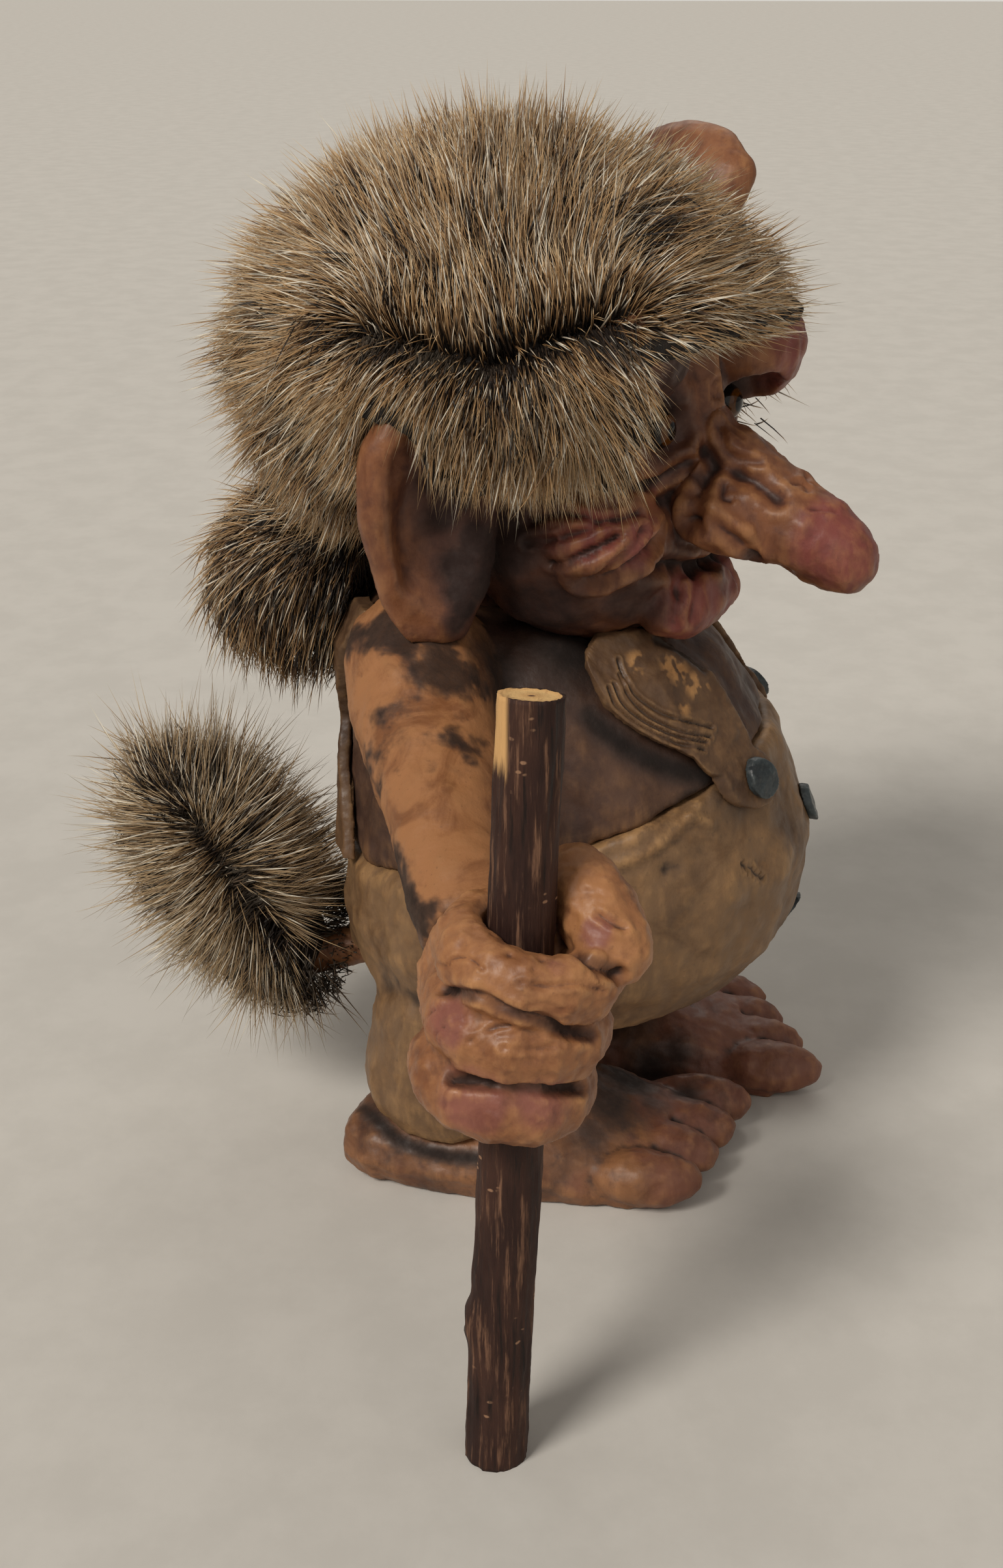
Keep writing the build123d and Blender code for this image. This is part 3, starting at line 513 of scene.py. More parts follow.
rays = sky.new("ShaderNodeLightPath")
pale, dim = sky.new("ShaderNodeBackground"), sky.new("ShaderNodeBackground")
pale.inputs["Color"].default_value = paint(214, 210, 203)
dim.inputs["Color"].default_value = paint(232, 228, 222)
dim.inputs["Strength"].default_value = 0.3
swap, worldOut = sky.new("ShaderNodeMixShader"), sky.new("ShaderNodeOutputWorld")
seen = sky.new("ShaderNodeMath")
seen.operation, seen.use_clamp = "ADD", True
wire = world.node_tree.links.new
wire(rays.outputs["Is Camera Ray"], seen.inputs[0])
wire(rays.outputs["Is Transmission Ray"], seen.inputs[1])
wire(seen.outputs[0], swap.inputs[0])
wire(dim.outputs[0], swap.inputs[1])
wire(pale.outputs[0], swap.inputs[2])
wire(swap.outputs[0], worldOut.inputs[0])
scene.view_settings.view_transform = "Standard"
print("camera, floor and light ready")


# Head, nose and ears in one skin

headPlan = {  # strokes are on the troll's right and mirrored to its left: points, width, depth, lip
    "voxel": 0.835, "rounds": 14, "hands": [(18.0, 0.9), (7.0, 0.35)], "grain": [(2.6, 0.14)],
    "pits": (3.2, 0.22, -0.35), "deep": 0.5, "darkEdge": 0.7, "rosyEdge": 0.6,
    "strokes": [
        ([(-6.4, 48.8, 189.5), (-6.7, 55.6, 186.7), (-7.1, 62, 184.3), (-7.8, 67.3, 181.9)], 2.0, 1.3, 0.6),
        ([(-8, 51.6, 186.4), (-12.9, 51.5, 183.2), (-15.9, 53.3, 179.4), (-16.3, 56.9, 176.2),
          (-14.7, 61.2, 173.1), (-8.7, 63.6, 169.1)], 1.5, 1.5, 0.7),
        ([(-9.6, 55.3, 183.7), (-13, 56.3, 182.4), (-12.7, 58.2, 181.6)], 0.8, 0.7, 0.3),
        ([(-3.6, 50.5, 194.8), (-5.4, 52.4, 192.1), (-6.2, 55.2, 189.8),
          (-4.5, 61.1, 188.1)], 1.0, 0.8, 0.4),
        ([(-2.6, 51.1, 195.2), (-3.1, 56.1, 192.8)], 0.6, 0.5, 0.2),
        ([(-3.4, 68.9, 184), (-1.1, 70.4, 183.9), (-2.5, 72.1, 182.8)], 0.8, 0.6, 0.3),
        ([(-5.9, 74.7, 180.1), (-2.5, 79.3, 179.4)], 0.7, 0.45, 0.2),
        ([(-14.6, 49.4, 181.4), (-16.2, 51.4, 178.2), (-16.7, 53.8, 174.9)], 1.6, 2.0, 0.6),
        ([(-16.2, 50.4, 176.2), (-24, 47, 172), (-30.7, 45.3, 170.8), (-38.3, 36.6, 165.7)], 2.2, 2.8, 1.5),
        ([(-38.5, 23.5, 177.5), (-39.9, 30.9, 180.7), (-39.1, 37.9, 180.2), (-35.5, 42.4, 179.8),
          (-29.8, 44.6, 180.3)], 1.0, 1.3, 0.8),
        ([(-41.2, 23, 173.1), (-41.7, 29.5, 174.7), (-40.8, 35.5, 177.1),
          (-38.6, 39.7, 179)], 0.95, 1.2, 0.7),
        ([(-40.3, 28.7, 169), (-40.8, 36.5, 172.3), (-38.1, 41.4, 175.1),
          (-36.1, 42.8, 176.2)], 0.95, 1.2, 0.7),
        ([(-30.8, 45.3, 177.1), (-34, 45.1, 174.2), (-37.3, 41.6, 170.9),
          (-38.4, 36.8, 165.9)], 0.95, 1.2, 0.7),
        ([(-30.2, 40.3, 185.2), (-22.2, 41, 184), (-17.7, 43, 185.1), (-11, 47, 188)], 1.4, 1.3, 0.9),
        ([(-24, 43, 166), (-14.8, 44.9, 164.8), (-7.4, 46.8, 162.8), (0, 48.5, 162.5)], 1.9, 2.8, 0.8),
        ([(-6.9, 46.4, 160.6), (-9.9, 49.1, 156.8), (-11.7, 49.2, 152.3)], 1.3, 0.9, 0.4),
        ([(-12.9, 45.1, 162.9), (-13.3, 46.6, 157.3), (-15.3, 46.8, 151.9)], 1.3, 0.9, 0.4),
        ([(-1.5, 47.6, 196.5), (-1.3, 47.5, 202), (-1, 47.5, 208), (-1, 46, 215)], 3.0, -1.8, 0.0),
    ],
    "curl": (
        [(-0.5, 50, 205), (-3, 50, 204.5), (-3.3, 50, 202), (-1.2, 50, 201.4), (-0.8, 50, 203.2)],
        0.7, 0.8, 0.3,
    ),
    "earEdge": (
        [(-60.4, 6.1, 188.4), (-62.4, 4.2, 179.8), (-62, 5.8, 171), (-63.2, 6.5, 166.1),
         (-64.9, 5.7, 161.4), (-60.4, 9.2, 154.8)], 2.2, 1.6, 0.9,
    ),
    "earCup": [((-58.0, 8.0, 171.0), 8.0, -2.6), ((-56.5, 9.5, 181.0), 8.0, -2.6)],
    "leftEarRise": 44.0,
    "nostril": ((-6.0, 68.0, 164.0), 3.4, -3.0),
    "rosy": [
        ((-6.5, 84, 174), 17, 1.0), ((-30, 45, 174), 10, 0.9), ((-38, 38, 176), 10, 0.9),
        ((-10, 49, 154), 15, 0.9), ((-40, 30, 175), 8, 0.7), ((-22, 44, 182), 8, 0.5),
    ],
    "farBrow": [((-26, 53, 209), 17, 1.0)],
    # painted shade in the eye sockets, in the nose's folds, under the wig, the cheeks and the jaw, beside
    # the ear and on the neck
    "dark": [
        ((-17, 44, 198), 14, 1.0), ((-6, 50, 188.5), 6, 0.6), ((-10, 49, 184), 5, 0.55),
        ((-12, 46, 168), 11, 0.6), ((-24, 41, 157), 17, 0.75), ((-40, 24, 154), 28, 0.9),
        ((-44, 16, 172), 24, 0.95), ((-8, 63, 168), 6, 0.6), ((-30, 36, 194), 13, 0.9),
        ((-48, 6, 190), 20, 0.9), ((-30, 10, 142), 30, 0.95), ((-40, 26, 186), 12, 0.75),
    ],
    # painted shade on the near brow under the hair
    "nearBrow": [((-24, 46, 211), 17, 0.85)],
    # painted shade in the ear cups
    "earDark": [
        ((-55, 10.2, 179.5), 10, 1.0), ((-56, 9.5, 189), 9, 1.0), ((-53, 13, 169), 11, 1.0),
        ((-53, 12, 185), 11, 1.0), ((-51, 16, 175), 11, 1.0), ((-50.5, 17.5, 165), 11, 1.0),
        ((-54, 15, 160), 7, 1.0), ((-55.5, 13.5, 157), 5.5, 0.9), ((-55, 13.8, 164), 7, 1.0),
    ],
    "earSide": 47.0, "earBlend": 4.0, "earRounds": 30,
    "farEar": {"side": 45.0, "height": 208.0, "blend": 44.0, "front": 10.0, "spread": 1.25, "lift": 2.0},
}


def faceStroke(stroke, side=1, rise=0.0):  # side -1 gives the mirrored stroke
    return ([facePlace(side * a, b, c + rise) for a, b, c in stroke[0]],) + tuple(stroke[1:])


def faceSpots(spots, sides=(1, -1), rise=0.0):
    return [
        (facePlace(side * left, front, height + rise), size, amount)
        for (left, front, height), size, amount in spots for side in sides
    ]


earRise = headPlan["leftEarRise"]
head = Skin("headSkin", ("head", "nose", "right_ear", "left_ear"), headPlan["voxel"], headPlan["rounds"])
head.handwork(headPlan["hands"])
head.lines([faceStroke(stroke, side) for stroke in headPlan["strokes"] for side in (1, -1)])
head.lumps(faceSpots([headPlan["nostril"]]) + faceSpots(headPlan["earCup"], (1,)))
head.lumps(faceSpots(headPlan["earCup"], (-1,), earRise))
head.lines([faceStroke(headPlan["curl"]), faceStroke(headPlan["earEdge"])])
head.lines([faceStroke(headPlan["earEdge"], -1, earRise)])
faceGap = head.places / mm - headMiddle
faceLeft, faceAhead = faceGap @ headLeft, faceGap @ headFront
earShare = np.clip((np.abs(faceLeft) - headPlan["earSide"]) / headPlan["earBlend"], 0, 1)
head.soften(earShare, headPlan["earRounds"])
far = headPlan["farEar"]  # the far ear's top is broad
spread = np.clip((faceGap[:, 2] - far["height"]) / far["blend"], 0, 1) * (faceLeft > far["side"])
stretch = headFront * ((faceAhead - far["front"]) * far["spread"])[:, None] + np.array((0, 0, far["lift"]))
head.move(stretch * (spread * mm)[:, None])
head.handwork(headPlan["grain"])
head.pits(*headPlan["pits"])
# the dark spots paint shade; the rosy spots are the head's own rosy paint
darkSpots = faceSpots(headPlan["dark"]) + faceSpots(headPlan["nearBrow"], (1,))
darkSpots += faceSpots(headPlan["earDark"], (1,)) + faceSpots(headPlan["earDark"], (-1,), earRise)
rosySpots = faceSpots(headPlan["rosy"]) + faceSpots(headPlan["farBrow"], (-1,))
headDark, headRosy = head.dab(darkSpots, headPlan["darkEdge"]), head.dab(rosySpots, headPlan["rosyEdge"])
head.antiqueAndShade(headDark, headRosy, deep=headPlan["deep"])
head.done("figure", faceShadedFinish)


# The fist round the staff, the hanging hand, the feet and the tail

handPlan = {
    "right_hand": {
        "name": "rightFist", "voxel": 0.55, "rounds": 10, "hands": [(9.0, 0.5), (3.0, 0.22), (1.4, 0.08)],
    },
    "left_hand": {"name": "leftHand", "voxel": 0.6, "rounds": 10, "hands": [(9.0, 0.5), (3.0, 0.2)]},
    "right_foot": {"name": "rightFoot", "voxel": 0.75, "rounds": 10, "hands": [(12.0, 0.7), (4.0, 0.25)]},
    "left_foot": {"name": "leftFoot", "voxel": 0.75, "rounds": 10, "hands": [(12.0, 0.7), (4.0, 0.25)]},
    "tail": {"name": "tailShaft", "voxel": 0.8, "rounds": 6, "hands": [(8.0, 0.3)]},
}
limbPlan = {"pits": (3.0, 0.25, -0.3, 3.7), "rosySize": 16.0, "rosyGain": 1.4}
dabEdge = {"hole": 0.6, "rosy": 0.7, "dark": 0.8, "tan": 0.9}  # the soft edge as a share of the radius
fistPlan = {  # in mm: points, width, depth, lip
    "strokes": [
        ([(-113.5, -11.2, 114.7), (-123.6, -17.7, 118.9), (-125.1, -23.5, 117.4), (-125, -29.5, 115.5),
          (-119.7, -34.5, 110.5), (-117.1, -39, 107.9)], 1.3, 1.5, 0.3),
        ([(-121.3, -13.4, 99.7), (-123, -21, 100.5), (-122.6, -29.4, 99.6),
          (-115.7, -37.2, 95.5)], 1.3, 1.5, 0.3),
        ([(-116, -11.0, 121.0), (-118.6, -12.6, 122.1), (-118.5, -13.2, 123.4), (-119.8, -15.4, 124.9),
          (-121.7, -17.9, 124.9), (-123.2, -19.5, 124.3)], 0.4, 0.5, 0.1),
        ([(-109.9, -39.9, 129.4), (-110.6, -42.2, 128.3), (-110.8, -44.5, 127.4)], 0.8, 0.8, 0.3),
        ([(-114, -35.5, 122.5), (-117, -38, 123.7), (-116.6, -41, 122.2),
          (-114.3, -43.7, 119.5)], 1.5, 1.8, 0.4),
        ([(-125.3, -26.5, 122.8), (-124.4, -31.6, 121.9), (-122.5, -36.4, 121.7),
          (-118.7, -41.2, 118.5)], 0.6, 0.45, 0.2),
        ([(-126.1, -28.1, 118.7), (-125.3, -31, 118.7), (-124.4, -34, 116.9)], 0.6, 0.4, 0.2),
        ([(-123.9, -16.9, 109.4), (-123.1, -21.4, 112.1), (-123.4, -24.8, 113.3)], 0.5, 0.35, 0.2),
        ([(-125.3, -23.5, 109.3), (-124.6, -28.7, 108.9), (-122.4, -33.9, 108.8)], 0.6, 0.35, 0.2),
        ([(-116.7, -9.3, 111.8), (-113.4, -7.3, 106.9)], 0.4, 0.5, 0.1),
        ([(-119.8, -11.6, 109.9), (-118.8, -10.1, 107.9), (-119, -10.5, 106)], 0.4, 0.5, 0.1),
    ],
    "crevices": [(0, 1.7, 1.0), (1, 1.7, 1.0), (4, 2.0, 0.9)],  # the stroke painted dark as painted shade in the crevice, width, strength
    "pits": [
        ((-120.8, -24.2, 126.4), 0.8, -0.9), ((-120.3, -30.2, 125.5), 0.8, -0.8),
        ((-123.3, -28.9, 124.8), 0.6, -0.7), ((-115.3, -20.7, 127.0), 0.6, -0.6),
        ((-114.1, -17.1, 128.2), 0.6, -0.5),
    ],
    "rosy": [
        ((-119.7, -12.2, 111.2), 9, 0.9), ((-111.4, -39.6, 126.7), 5, 0.9),
        ((-121.4, -32.9, 124.4), 4, 0.5), ((-123.9, -17.6, 97), 11, 1.0), ((-121, -30, 96), 11, 0.8),
    ],
    # painted shade in the fist's opening round the staff
    "hole": [((-107.3, -25.0, 124.0), 10, 0.75)],
}
footPlan = {
    # painted shade over the instep under the trouser leg and between the toes
    "dark": [
        ((4, -26, 25), 24, 0.95), ((-4, -40, 19), 14, 0.7), ((14, -44, 18), 15, 0.9),
        ((48, -40, 22), 24, 0.75), ((0, -40, 19), 16, 0.85), ((-10, -36, 17), 12, 0.7),
        ((17, -60, 12), 9, 0.8), ((38, -51, 8), 13, 0.9), ((40, -57, 12), 11, 0.75),
        ((6, -50, 15), 10, 0.6),
    ],
    # painted shade along the foot under the trouser cuff
    "cuff": [(
        [(-2, 24, 17), (-8, 19.2, 16.4), (-14, 11.7, 13.9), (-16.8, 0.6, 12.5), (-18.3, -10.3, 13.2)],
        2.6, 1.0,
    )],
    "toeStart": -43.0, "toeBlend": 12.0, "toeRosy": 0.75, "skinRosy": 0.7,
}


def bodySpots(spots):  # places in mm
    return [(np.array(place) * mm, size, amount) for place, size, amount in spots]


def bodyStrokes(strokes):  # points in mm
    return [(np.array(points) * mm, *rest) for points, *rest in strokes]


for node, plan in handPlan.items():
    limb = Skin(plan["name"], (node,), plan["voxel"], plan["rounds"], 0.0)
    limb.handwork(plan["hands"])
    grime, rosy = None, np.clip(limb.cloud(limbPlan["rosySize"], 2, 5.1) * limbPlan["rosyGain"], 0, 1)
    if node == "right_hand":
        limb.lines(bodyStrokes(fistPlan["strokes"]))
        limb.lumps(bodySpots(fistPlan["pits"]))
        crevices = [(fistPlan["strokes"][k][0], *rest) for k, *rest in fistPlan["crevices"]]
        grime = np.maximum(limb.trace(crevices), limb.dab(bodySpots(fistPlan["hole"]), dabEdge["hole"]))
        rosy = limb.dab(bodySpots(fistPlan["rosy"]), dabEdge["rosy"])
    if "foot" in node:
        grime = limb.dab(bodySpots(footPlan["dark"]), dabEdge["dark"])
        grime = np.maximum(grime, limb.trace(footPlan["cuff"]))
        toes = np.clip((footPlan["toeStart"] - limb.places[:, 1] / mm) / footPlan["toeBlend"], 0, 1)
        rosy = np.clip(rosy * footPlan["skinRosy"] + toes * footPlan["toeRosy"], 0, 1)
    limb.pits(*limbPlan["pits"])
    limb.move(np.maximum(limb.places, (-1, -1, 0)) - limb.places)  # nothing goes under the floor
    limb.antiqueAndShade(grime, rosy)
    limb.done("figure", footFinish if "foot" in node else skinFinish)


# Shirt and trousers

clothPlan = {
    "shirtSkin": {
        "nodes": ("torso", "right_arm", "left_arm"), "voxel": 1.1, "rounds": 36,
        "hands": [(30.0, 1.2), (9.0, 0.4), (3.5, 0.14)],
    },
    "trouserSkin": {
        "nodes": ("trousers", "right_leg", "left_leg"), "voxel": 1.15, "rounds": 36,
        "hands": [(30.0, 1.0), (9.0, 0.4), (3.5, 0.16)],
    },
}
clothPits = (4.5, 0.3, -0.3, 1.3)
shirtPlan = {
    "shadows": [  # under the brace, then along the waist
        ([(-12, -33, 131), (-14.3, -38.3, 127.6), (-13.8, -43.3, 123.8), (-12.6, -48.6, 120.6),
          (-10.7, -54.9, 117.7), (-7.6, -61.2, 115.1)], 4.5, 1.0),
        ([(-25, -20, 98), (-25, -35.4, 100), (-23.4, -41.4, 102.4), (-21.5, -47.5, 104.7),
          (-18.5, -51.3, 107.4), (-14.8, -55.2, 109.8), (-11.2, -58.6, 112.7)], 3.2, 0.85),
    ],
    # painted shade under the chin
    "chin": [((-4, -30, 146), 26, 0.95), ((-14, -10, 140), 22, 0.85)],
    "sleeve": {"wander": 2.5, "blend": 4.0, "start": 0.3},  # where the arm's bare skin begins, mm
    "smudge": {"size": 24.0, "gain": 1.9, "start": 0.2, "most": 0.8},
}
beltPlan = {
    "strokes": [
        ([(-24.8, -38, 98.6), (-23.1, -45.4, 100.7), (-20.2, -50.6, 103.2), (-17.5, -54, 105.5),
          (-14.8, -57.5, 107.9), (-12.7, -59.6, 110.5)], 1.3, -0.9, -0.25),
        ([(-14.8, -57.5, 107.9), (-13.3, -60.6, 106.6), (-12.3, -63.4, 104.8)], 1.0, -0.7, -0.2),
        ([(-9.6, -70.3, 93.8), (-8.6, -71.8, 91.9), (-8.0, -72.6, 92.3), (-6.9, -74, 89.9),
          (-5.3, -76.1, 87.8)], 0.6, 0.7, 0.3),
        ([(-21.2, -52.1, 96.9), (-20.6, -53, 97.6), (-20, -54.3, 96.9)], 1.6, 0.4, 0.2),
    ],
    "dark": [((-5.8, -68.4, 106.3), 8, 0.55), ((-9, -64, 110.5), 6, 0.55)],
}
for name, plan in clothPlan.items():
    cloth = Skin(name, plan["nodes"], plan["voxel"], plan["rounds"])
    cloth.handwork(plan["hands"])
    if name == "shirtSkin":
        cloth.pits(*clothPits)
        sleeve, smudge = shirtPlan["sleeve"], shirtPlan["smudge"]
        armGap = np.minimum(cloth.gapTo("right_arm"), cloth.gapTo("left_arm"))
        armGap = cloth.gapTo("torso") - armGap + cloth.cloud(9.0) * sleeve["wander"]
        bare = np.clip(armGap / sleeve["blend"] + sleeve["start"], 0, 1)
        dirt = cloth.cloud(smudge["size"], 5, 4.4) * smudge["gain"] - smudge["start"]
        dirt = np.clip(dirt, 0, smudge["most"]) * bare
        # painted shade under the brace, along the waist and under the chin, with the arms' real dirty
        # smudges
        dark = np.maximum(cloth.trace(shirtPlan["shadows"]), dirt)
        dark = np.maximum(dark, cloth.dab(bodySpots(shirtPlan["chin"]), dabEdge["dark"]))
        cloth.antiqueAndShade(dark, bare)
        cloth.done("figure", shirtFinish)
    else:
        cloth.lines(bodyStrokes(beltPlan["strokes"]))
        cloth.pits(*clothPits)
        cloth.antiqueAndShade(cloth.dab(bodySpots(beltPlan["dark"]), dabEdge["dark"]))
        cloth.done("figure", trouserFinish)


# Braces and buttons

# its rosy colour is a light tan that paints highlights on the leaf
braceFinish = clayFinish("paintedBraces", dict(
    trouserPaint, base=paint(106, 79, 55), second=paint(80, 58, 43), third=paint(124, 92, 62),
    rosy=paint(182, 136, 86), rosiness=0.9,
))
bracePlan = {  # on the troll's right, and mirrored to its left about the body's middle
    "middle": 31.2, "voxel": 0.5, "rounds": 10, "hands": [(8.0, 0.35), (3.0, 0.15)],
    # creases: rounds of the fine and wide hollow passes; then the noise that makes the painted highlights
    # patchy: size, gain and start
    "creases": (8, 40), "wear": {"size": 4.0, "gain": 2.0, "start": 0.75},
    "pieces": [
        ("right_brace", "rightBrace", 1), ("left_brace", "leftBrace", -1), ("back_braces", "backBraces", 0),
    ],
    "leaf": {  # in mm from the side: front to back, then height
        "bend": -45.0, "squeeze": 0.7, "axis": -10.0, "span": (-62, -33),
        "rim": (
            (-62, -58.7, -54.7, -48.9, -43.1, -38.7, -36.5, -35.4),
            (115, 120, 122.6, 125.8, 129.8, 134, 138.4, 143),
        ),
    },
    "strokes": [
        ([(-12.9, -37.4, 138.3), (-14.5, -39.7, 134.5), (-14.3, -44, 130.8), (-13.3, -49.3, 127.3),
          (-11.8, -54.6, 124.6), (-8.5, -60.5, 122.3)], 0.42, 0.7, 0.3),
        ([(-11.7, -38.7, 138.8), (-13.4, -40.8, 135.3), (-13.4, -44.6, 131.7), (-12.4, -49.7, 128.4),
          (-10.8, -55, 125.9), (-6.9, -60.9, 123.5)], 0.42, 0.7, 0.3),
        ([(-9.5, -39.9, 140.4), (-11.5, -41.8, 137), (-12.2, -45.2, 133.1), (-11.6, -49.6, 129.8),
          (-10, -55.4, 127), (-5.2, -61.8, 124.1)], 0.42, 0.7, 0.3),
        ([(-7.1, -39.6, 143.2), (-9.3, -41.1, 139.9), (-10.8, -43.4, 136.6), (-10.9, -46.6, 134),
          (-10, -51.3, 131), (-7.8, -56.8, 128.8), (-3.4, -62.4, 126)], 0.5, 0.8, 0.35),
        ([(2.6, -48.5, 145.1), (4.8, -54, 141.9), (5.5, -59.5, 137.5)], 1.4, 0.9, 0.3),
    ],
    # painted highlights on the leaf
    "tan": [
        ((-0.5, -53, 139), 7, 1.0), ((0.5, -58.5, 134.5), 7, 1.0), ((-5, -44, 142), 5, 1.0),
        ((-6, -55, 131), 4, 0.8),
    ],
    # painted shade in the groove along the leaf's upper edge
    "dark": [([(2.6, -48.5, 145.1), (4.8, -54, 141.9), (5.5, -59.5, 137.5)], 2.2, 0.9)],
}


def turned(place, side):  # side -1 gives the mirrored place
    return np.array((place[0] if side > 0 else 2 * bracePlan["middle"] - place[0], place[1], place[2]))


def leafEdges(node, depths):  # heights of the CAD leaf's lower and upper edge at each depth, mm
    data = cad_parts[node].data
    places = np.array([v.co for v in data.vertices]) / mm
    ends = places[np.array([e.vertices for e in data.edges])]
    spans = []
    for depth in depths:
        crossing = ends[(ends[:, 0, 1] < depth) != (ends[:, 1, 1] < depth)]
        run = crossing[:, 1] - crossing[:, 0]
        heights = crossing[:, 0, 2] + (depth - crossing[:, 0, 1]) / run[:, 1] * run[:, 2]
        spans.append((heights.min(), heights.max()))
    return np.array(spans).T


def roundLeaf(brace):  # its lower edge follows a rounder line, and it stays as far off the body
    plan = bracePlan["leaf"]
    before = np.minimum(brace.gapTo("torso"), brace.gapTo("trousers"))
    depth, height = brace.places[:, 1] / mm, brace.places[:, 2] / mm
    drawn = depth - np.maximum(depth - plan["bend"], 0) * (1 - plan["squeeze"])
    stations = np.arange(*plan["span"])
    low, top = (np.interp(depth, stations, edge) for edge in leafEdges(brace.nodes[0], stations))
    raised = top - (top - height) * (top - np.interp(drawn, *plan["rim"])) / (top - low)
    offset = np.zeros_like(brace.places)
    offset[:, 1] = (drawn - depth) * mm
    offset[:, 2] = np.where(depth > stations[0], raised - height, 0) * mm
    brace.move(offset)
    after = np.minimum(brace.gapTo("torso"), brace.gapTo("trousers"))
    out = unit((brace.places - np.array((bracePlan["middle"], plan["axis"], 0)) * mm) * (1, 1, 0))
    brace.move(out * ((before - after) * mm)[:, None])


def leafStrokes(strokes, side):
    return [([turned(p, side) for p in points], *rest) for points, *rest in strokes]


for node, name, side in bracePlan["pieces"]:
    brace = Skin(name, (node,), bracePlan["voxel"], bracePlan["rounds"], 0.0)
    if side:
        roundLeaf(brace)
    brace.handwork(bracePlan["hands"])
    grime = rosy = None
    if side:
        brace.lines(bodyStrokes(leafStrokes(bracePlan["strokes"], side)))
        # painted shade in the groove, and painted highlights on the leaf made patchy by a noise
        grime = brace.trace(leafStrokes(bracePlan["dark"], side))
        tan = [(turned(place, side), *rest) for place, *rest in bracePlan["tan"]]
        rosy = brace.dab(bodySpots(tan), dabEdge["tan"])
        wear = bracePlan["wear"]
        rosy = rosy * np.clip(brace.cloud(wear["size"], 3, 6.6) * wear["gain"] + wear["start"], 0, 1)
    brace.antiqueAndShade(grime, rosy, *bracePlan["creases"])
    brace.done("figure", braceFinish)

buttonPlan = {"voxel": 0.3, "rounds": 8, "hands": [(3.0, 0.2)]}
buttonPaint = {
    "base": paint(50, 58, 61), "second": paint(36, 41, 44), "third": paint(72, 80, 80),
    "rosy": paint(90, 80, 70), "light": paint(120, 128, 126), "dirt": paint(44, 40, 36),
    "grime": paint(20, 19, 19), "patch": 5.0, "mottle": 0.5, "rosiness": 0.3, "worn": 0.6,
    "blotch": 0.5, "tint": paint(180, 180, 180),
    "smear": 0.5, "antiqueAndShade": 0.9, "rough": 0.4, "relief": 0.2, "varnish": 0.2,
}
buttonFinish = clayFinish("paintedButtons", buttonPaint)
for node in ("right_brace_button", "left_brace_button", "upper_fly_button", "lower_fly_button"):
    words = node.split("_")
    name = words[0] + "".join(w.title() for w in words[1:])
    button = Skin(name, (node,), buttonPlan["voxel"], buttonPlan["rounds"], 0.0)
    button.handwork(buttonPlan["hands"])
    button.antiqueAndShade()
    button.done("figure", buttonFinish)


# Glass eyes

eyePlan = {
    "side": 17.0, "height": 196.0, "radius": 4.6, "around": 40, "upward": 24,
    "pupil": 0.9, "iris": 0.62,  # cosines of the angle off the eye's front
}
for side, node, name in ((-1, "right_eye", "rightEye"), (1, "left_eye", "leftEye")):
    level = facePlace(side * eyePlan["side"], 0, eyePlan["height"])
    tip = max(np.dot(v.co, headFront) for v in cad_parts[node].data.vertices)
    middle = level + headFront * (tip - level @ headFront - eyePlan["radius"] * mm)
    eyeMesh = bpy.data.meshes.new(name)
    eyeShape = bmesh.new()
    counts = {"u_segments": eyePlan["around"], "v_segments": eyePlan["upward"]}
    bmesh.ops.create_uvsphere(eyeShape, radius=eyePlan["radius"] * mm, **counts)
    bmesh.ops.translate(eyeShape, verts=eyeShape.verts, vec=Vector(middle))
    for face in eyeShape.faces:
        face.smooth = True
    eyeShape.to_mesh(eyeMesh)
    eyeShape.free()
    glass = Finish(name + "Glass")
    coords = glass.node("ShaderNodeTexCoord", output="Object")
    ray = glass.aim("NORMALIZE", glass.aim("SUBTRACT", coords, tuple(middle)))
    facing = glass.aim("DOT_PRODUCT", ray, tuple(headFront), "Value")
    fibre = glass.cloud(0.8, 3.0, 0.6)
    ringColor = glass.blend(fibre, paint(104, 60, 16), paint(52, 28, 9))
    ring = glass.step(facing, eyePlan["iris"], eyePlan["iris"] + 0.1)
    dot = glass.step(facing, eyePlan["pupil"] - 0.03, eyePlan["pupil"] + 0.02)
    eyeColor = glass.blend(ring, paint(18, 14, 12), ringColor)
    eyeColor = glass.blend(dot, eyeColor, paint(6, 5, 5))
    glass.shade({"Base Color": eyeColor, "Roughness": fibre * 0.04 + 0.05, "Specular IOR Level": 0.3})
    addPiece(name, eyeMesh, "figure", (node,), glass)
print("eyes ready")


# The twig

twigPlan = {
    "foot": (-107.3, -20.4, 0.0), "lean": 2.17, "length": 171.5, "footRadius": 6.75, "topRadius": 6.45,
    "cutSlope": 9.0, "cutStart": 0.9, "sides": 56, "rings": 190, "flat": 0.35,
    "bark": 0.9, "rimClear": 0.15,
    "ribs": 0.32, "fine": 0.16, "bends": 0.25, "sink": 0.22, "most": 0.2,  # mm of bark
    "ends": [(0.9, 0.0), (0.35, -0.25), (2.0, 0.05), (1.6, 0.0)],  # rings on the sawn ends: width, depth
    "knot": {
        "height": 34.0, "reach": 9.0, "girth": 6.6, "wide": 3.4, "tall": 4.6, "swell": 2.1, "scar": 1.5,
    },
}
twigShape = bmesh.new()
bmesh.ops.create_cone(
    twigShape, cap_ends=True, cap_tris=False, segments=twigPlan["sides"],
    radius1=twigPlan["footRadius"] * mm, radius2=twigPlan["topRadius"] * mm, depth=twigPlan["length"] * mm,
)
bmesh.ops.translate(twigShape, verts=twigShape.verts, vec=(0, 0, twigPlan["length"] / 2 * mm))
upright = [e for e in twigShape.edges if abs(e.verts[0].co.z - e.verts[1].co.z) > 0.1]
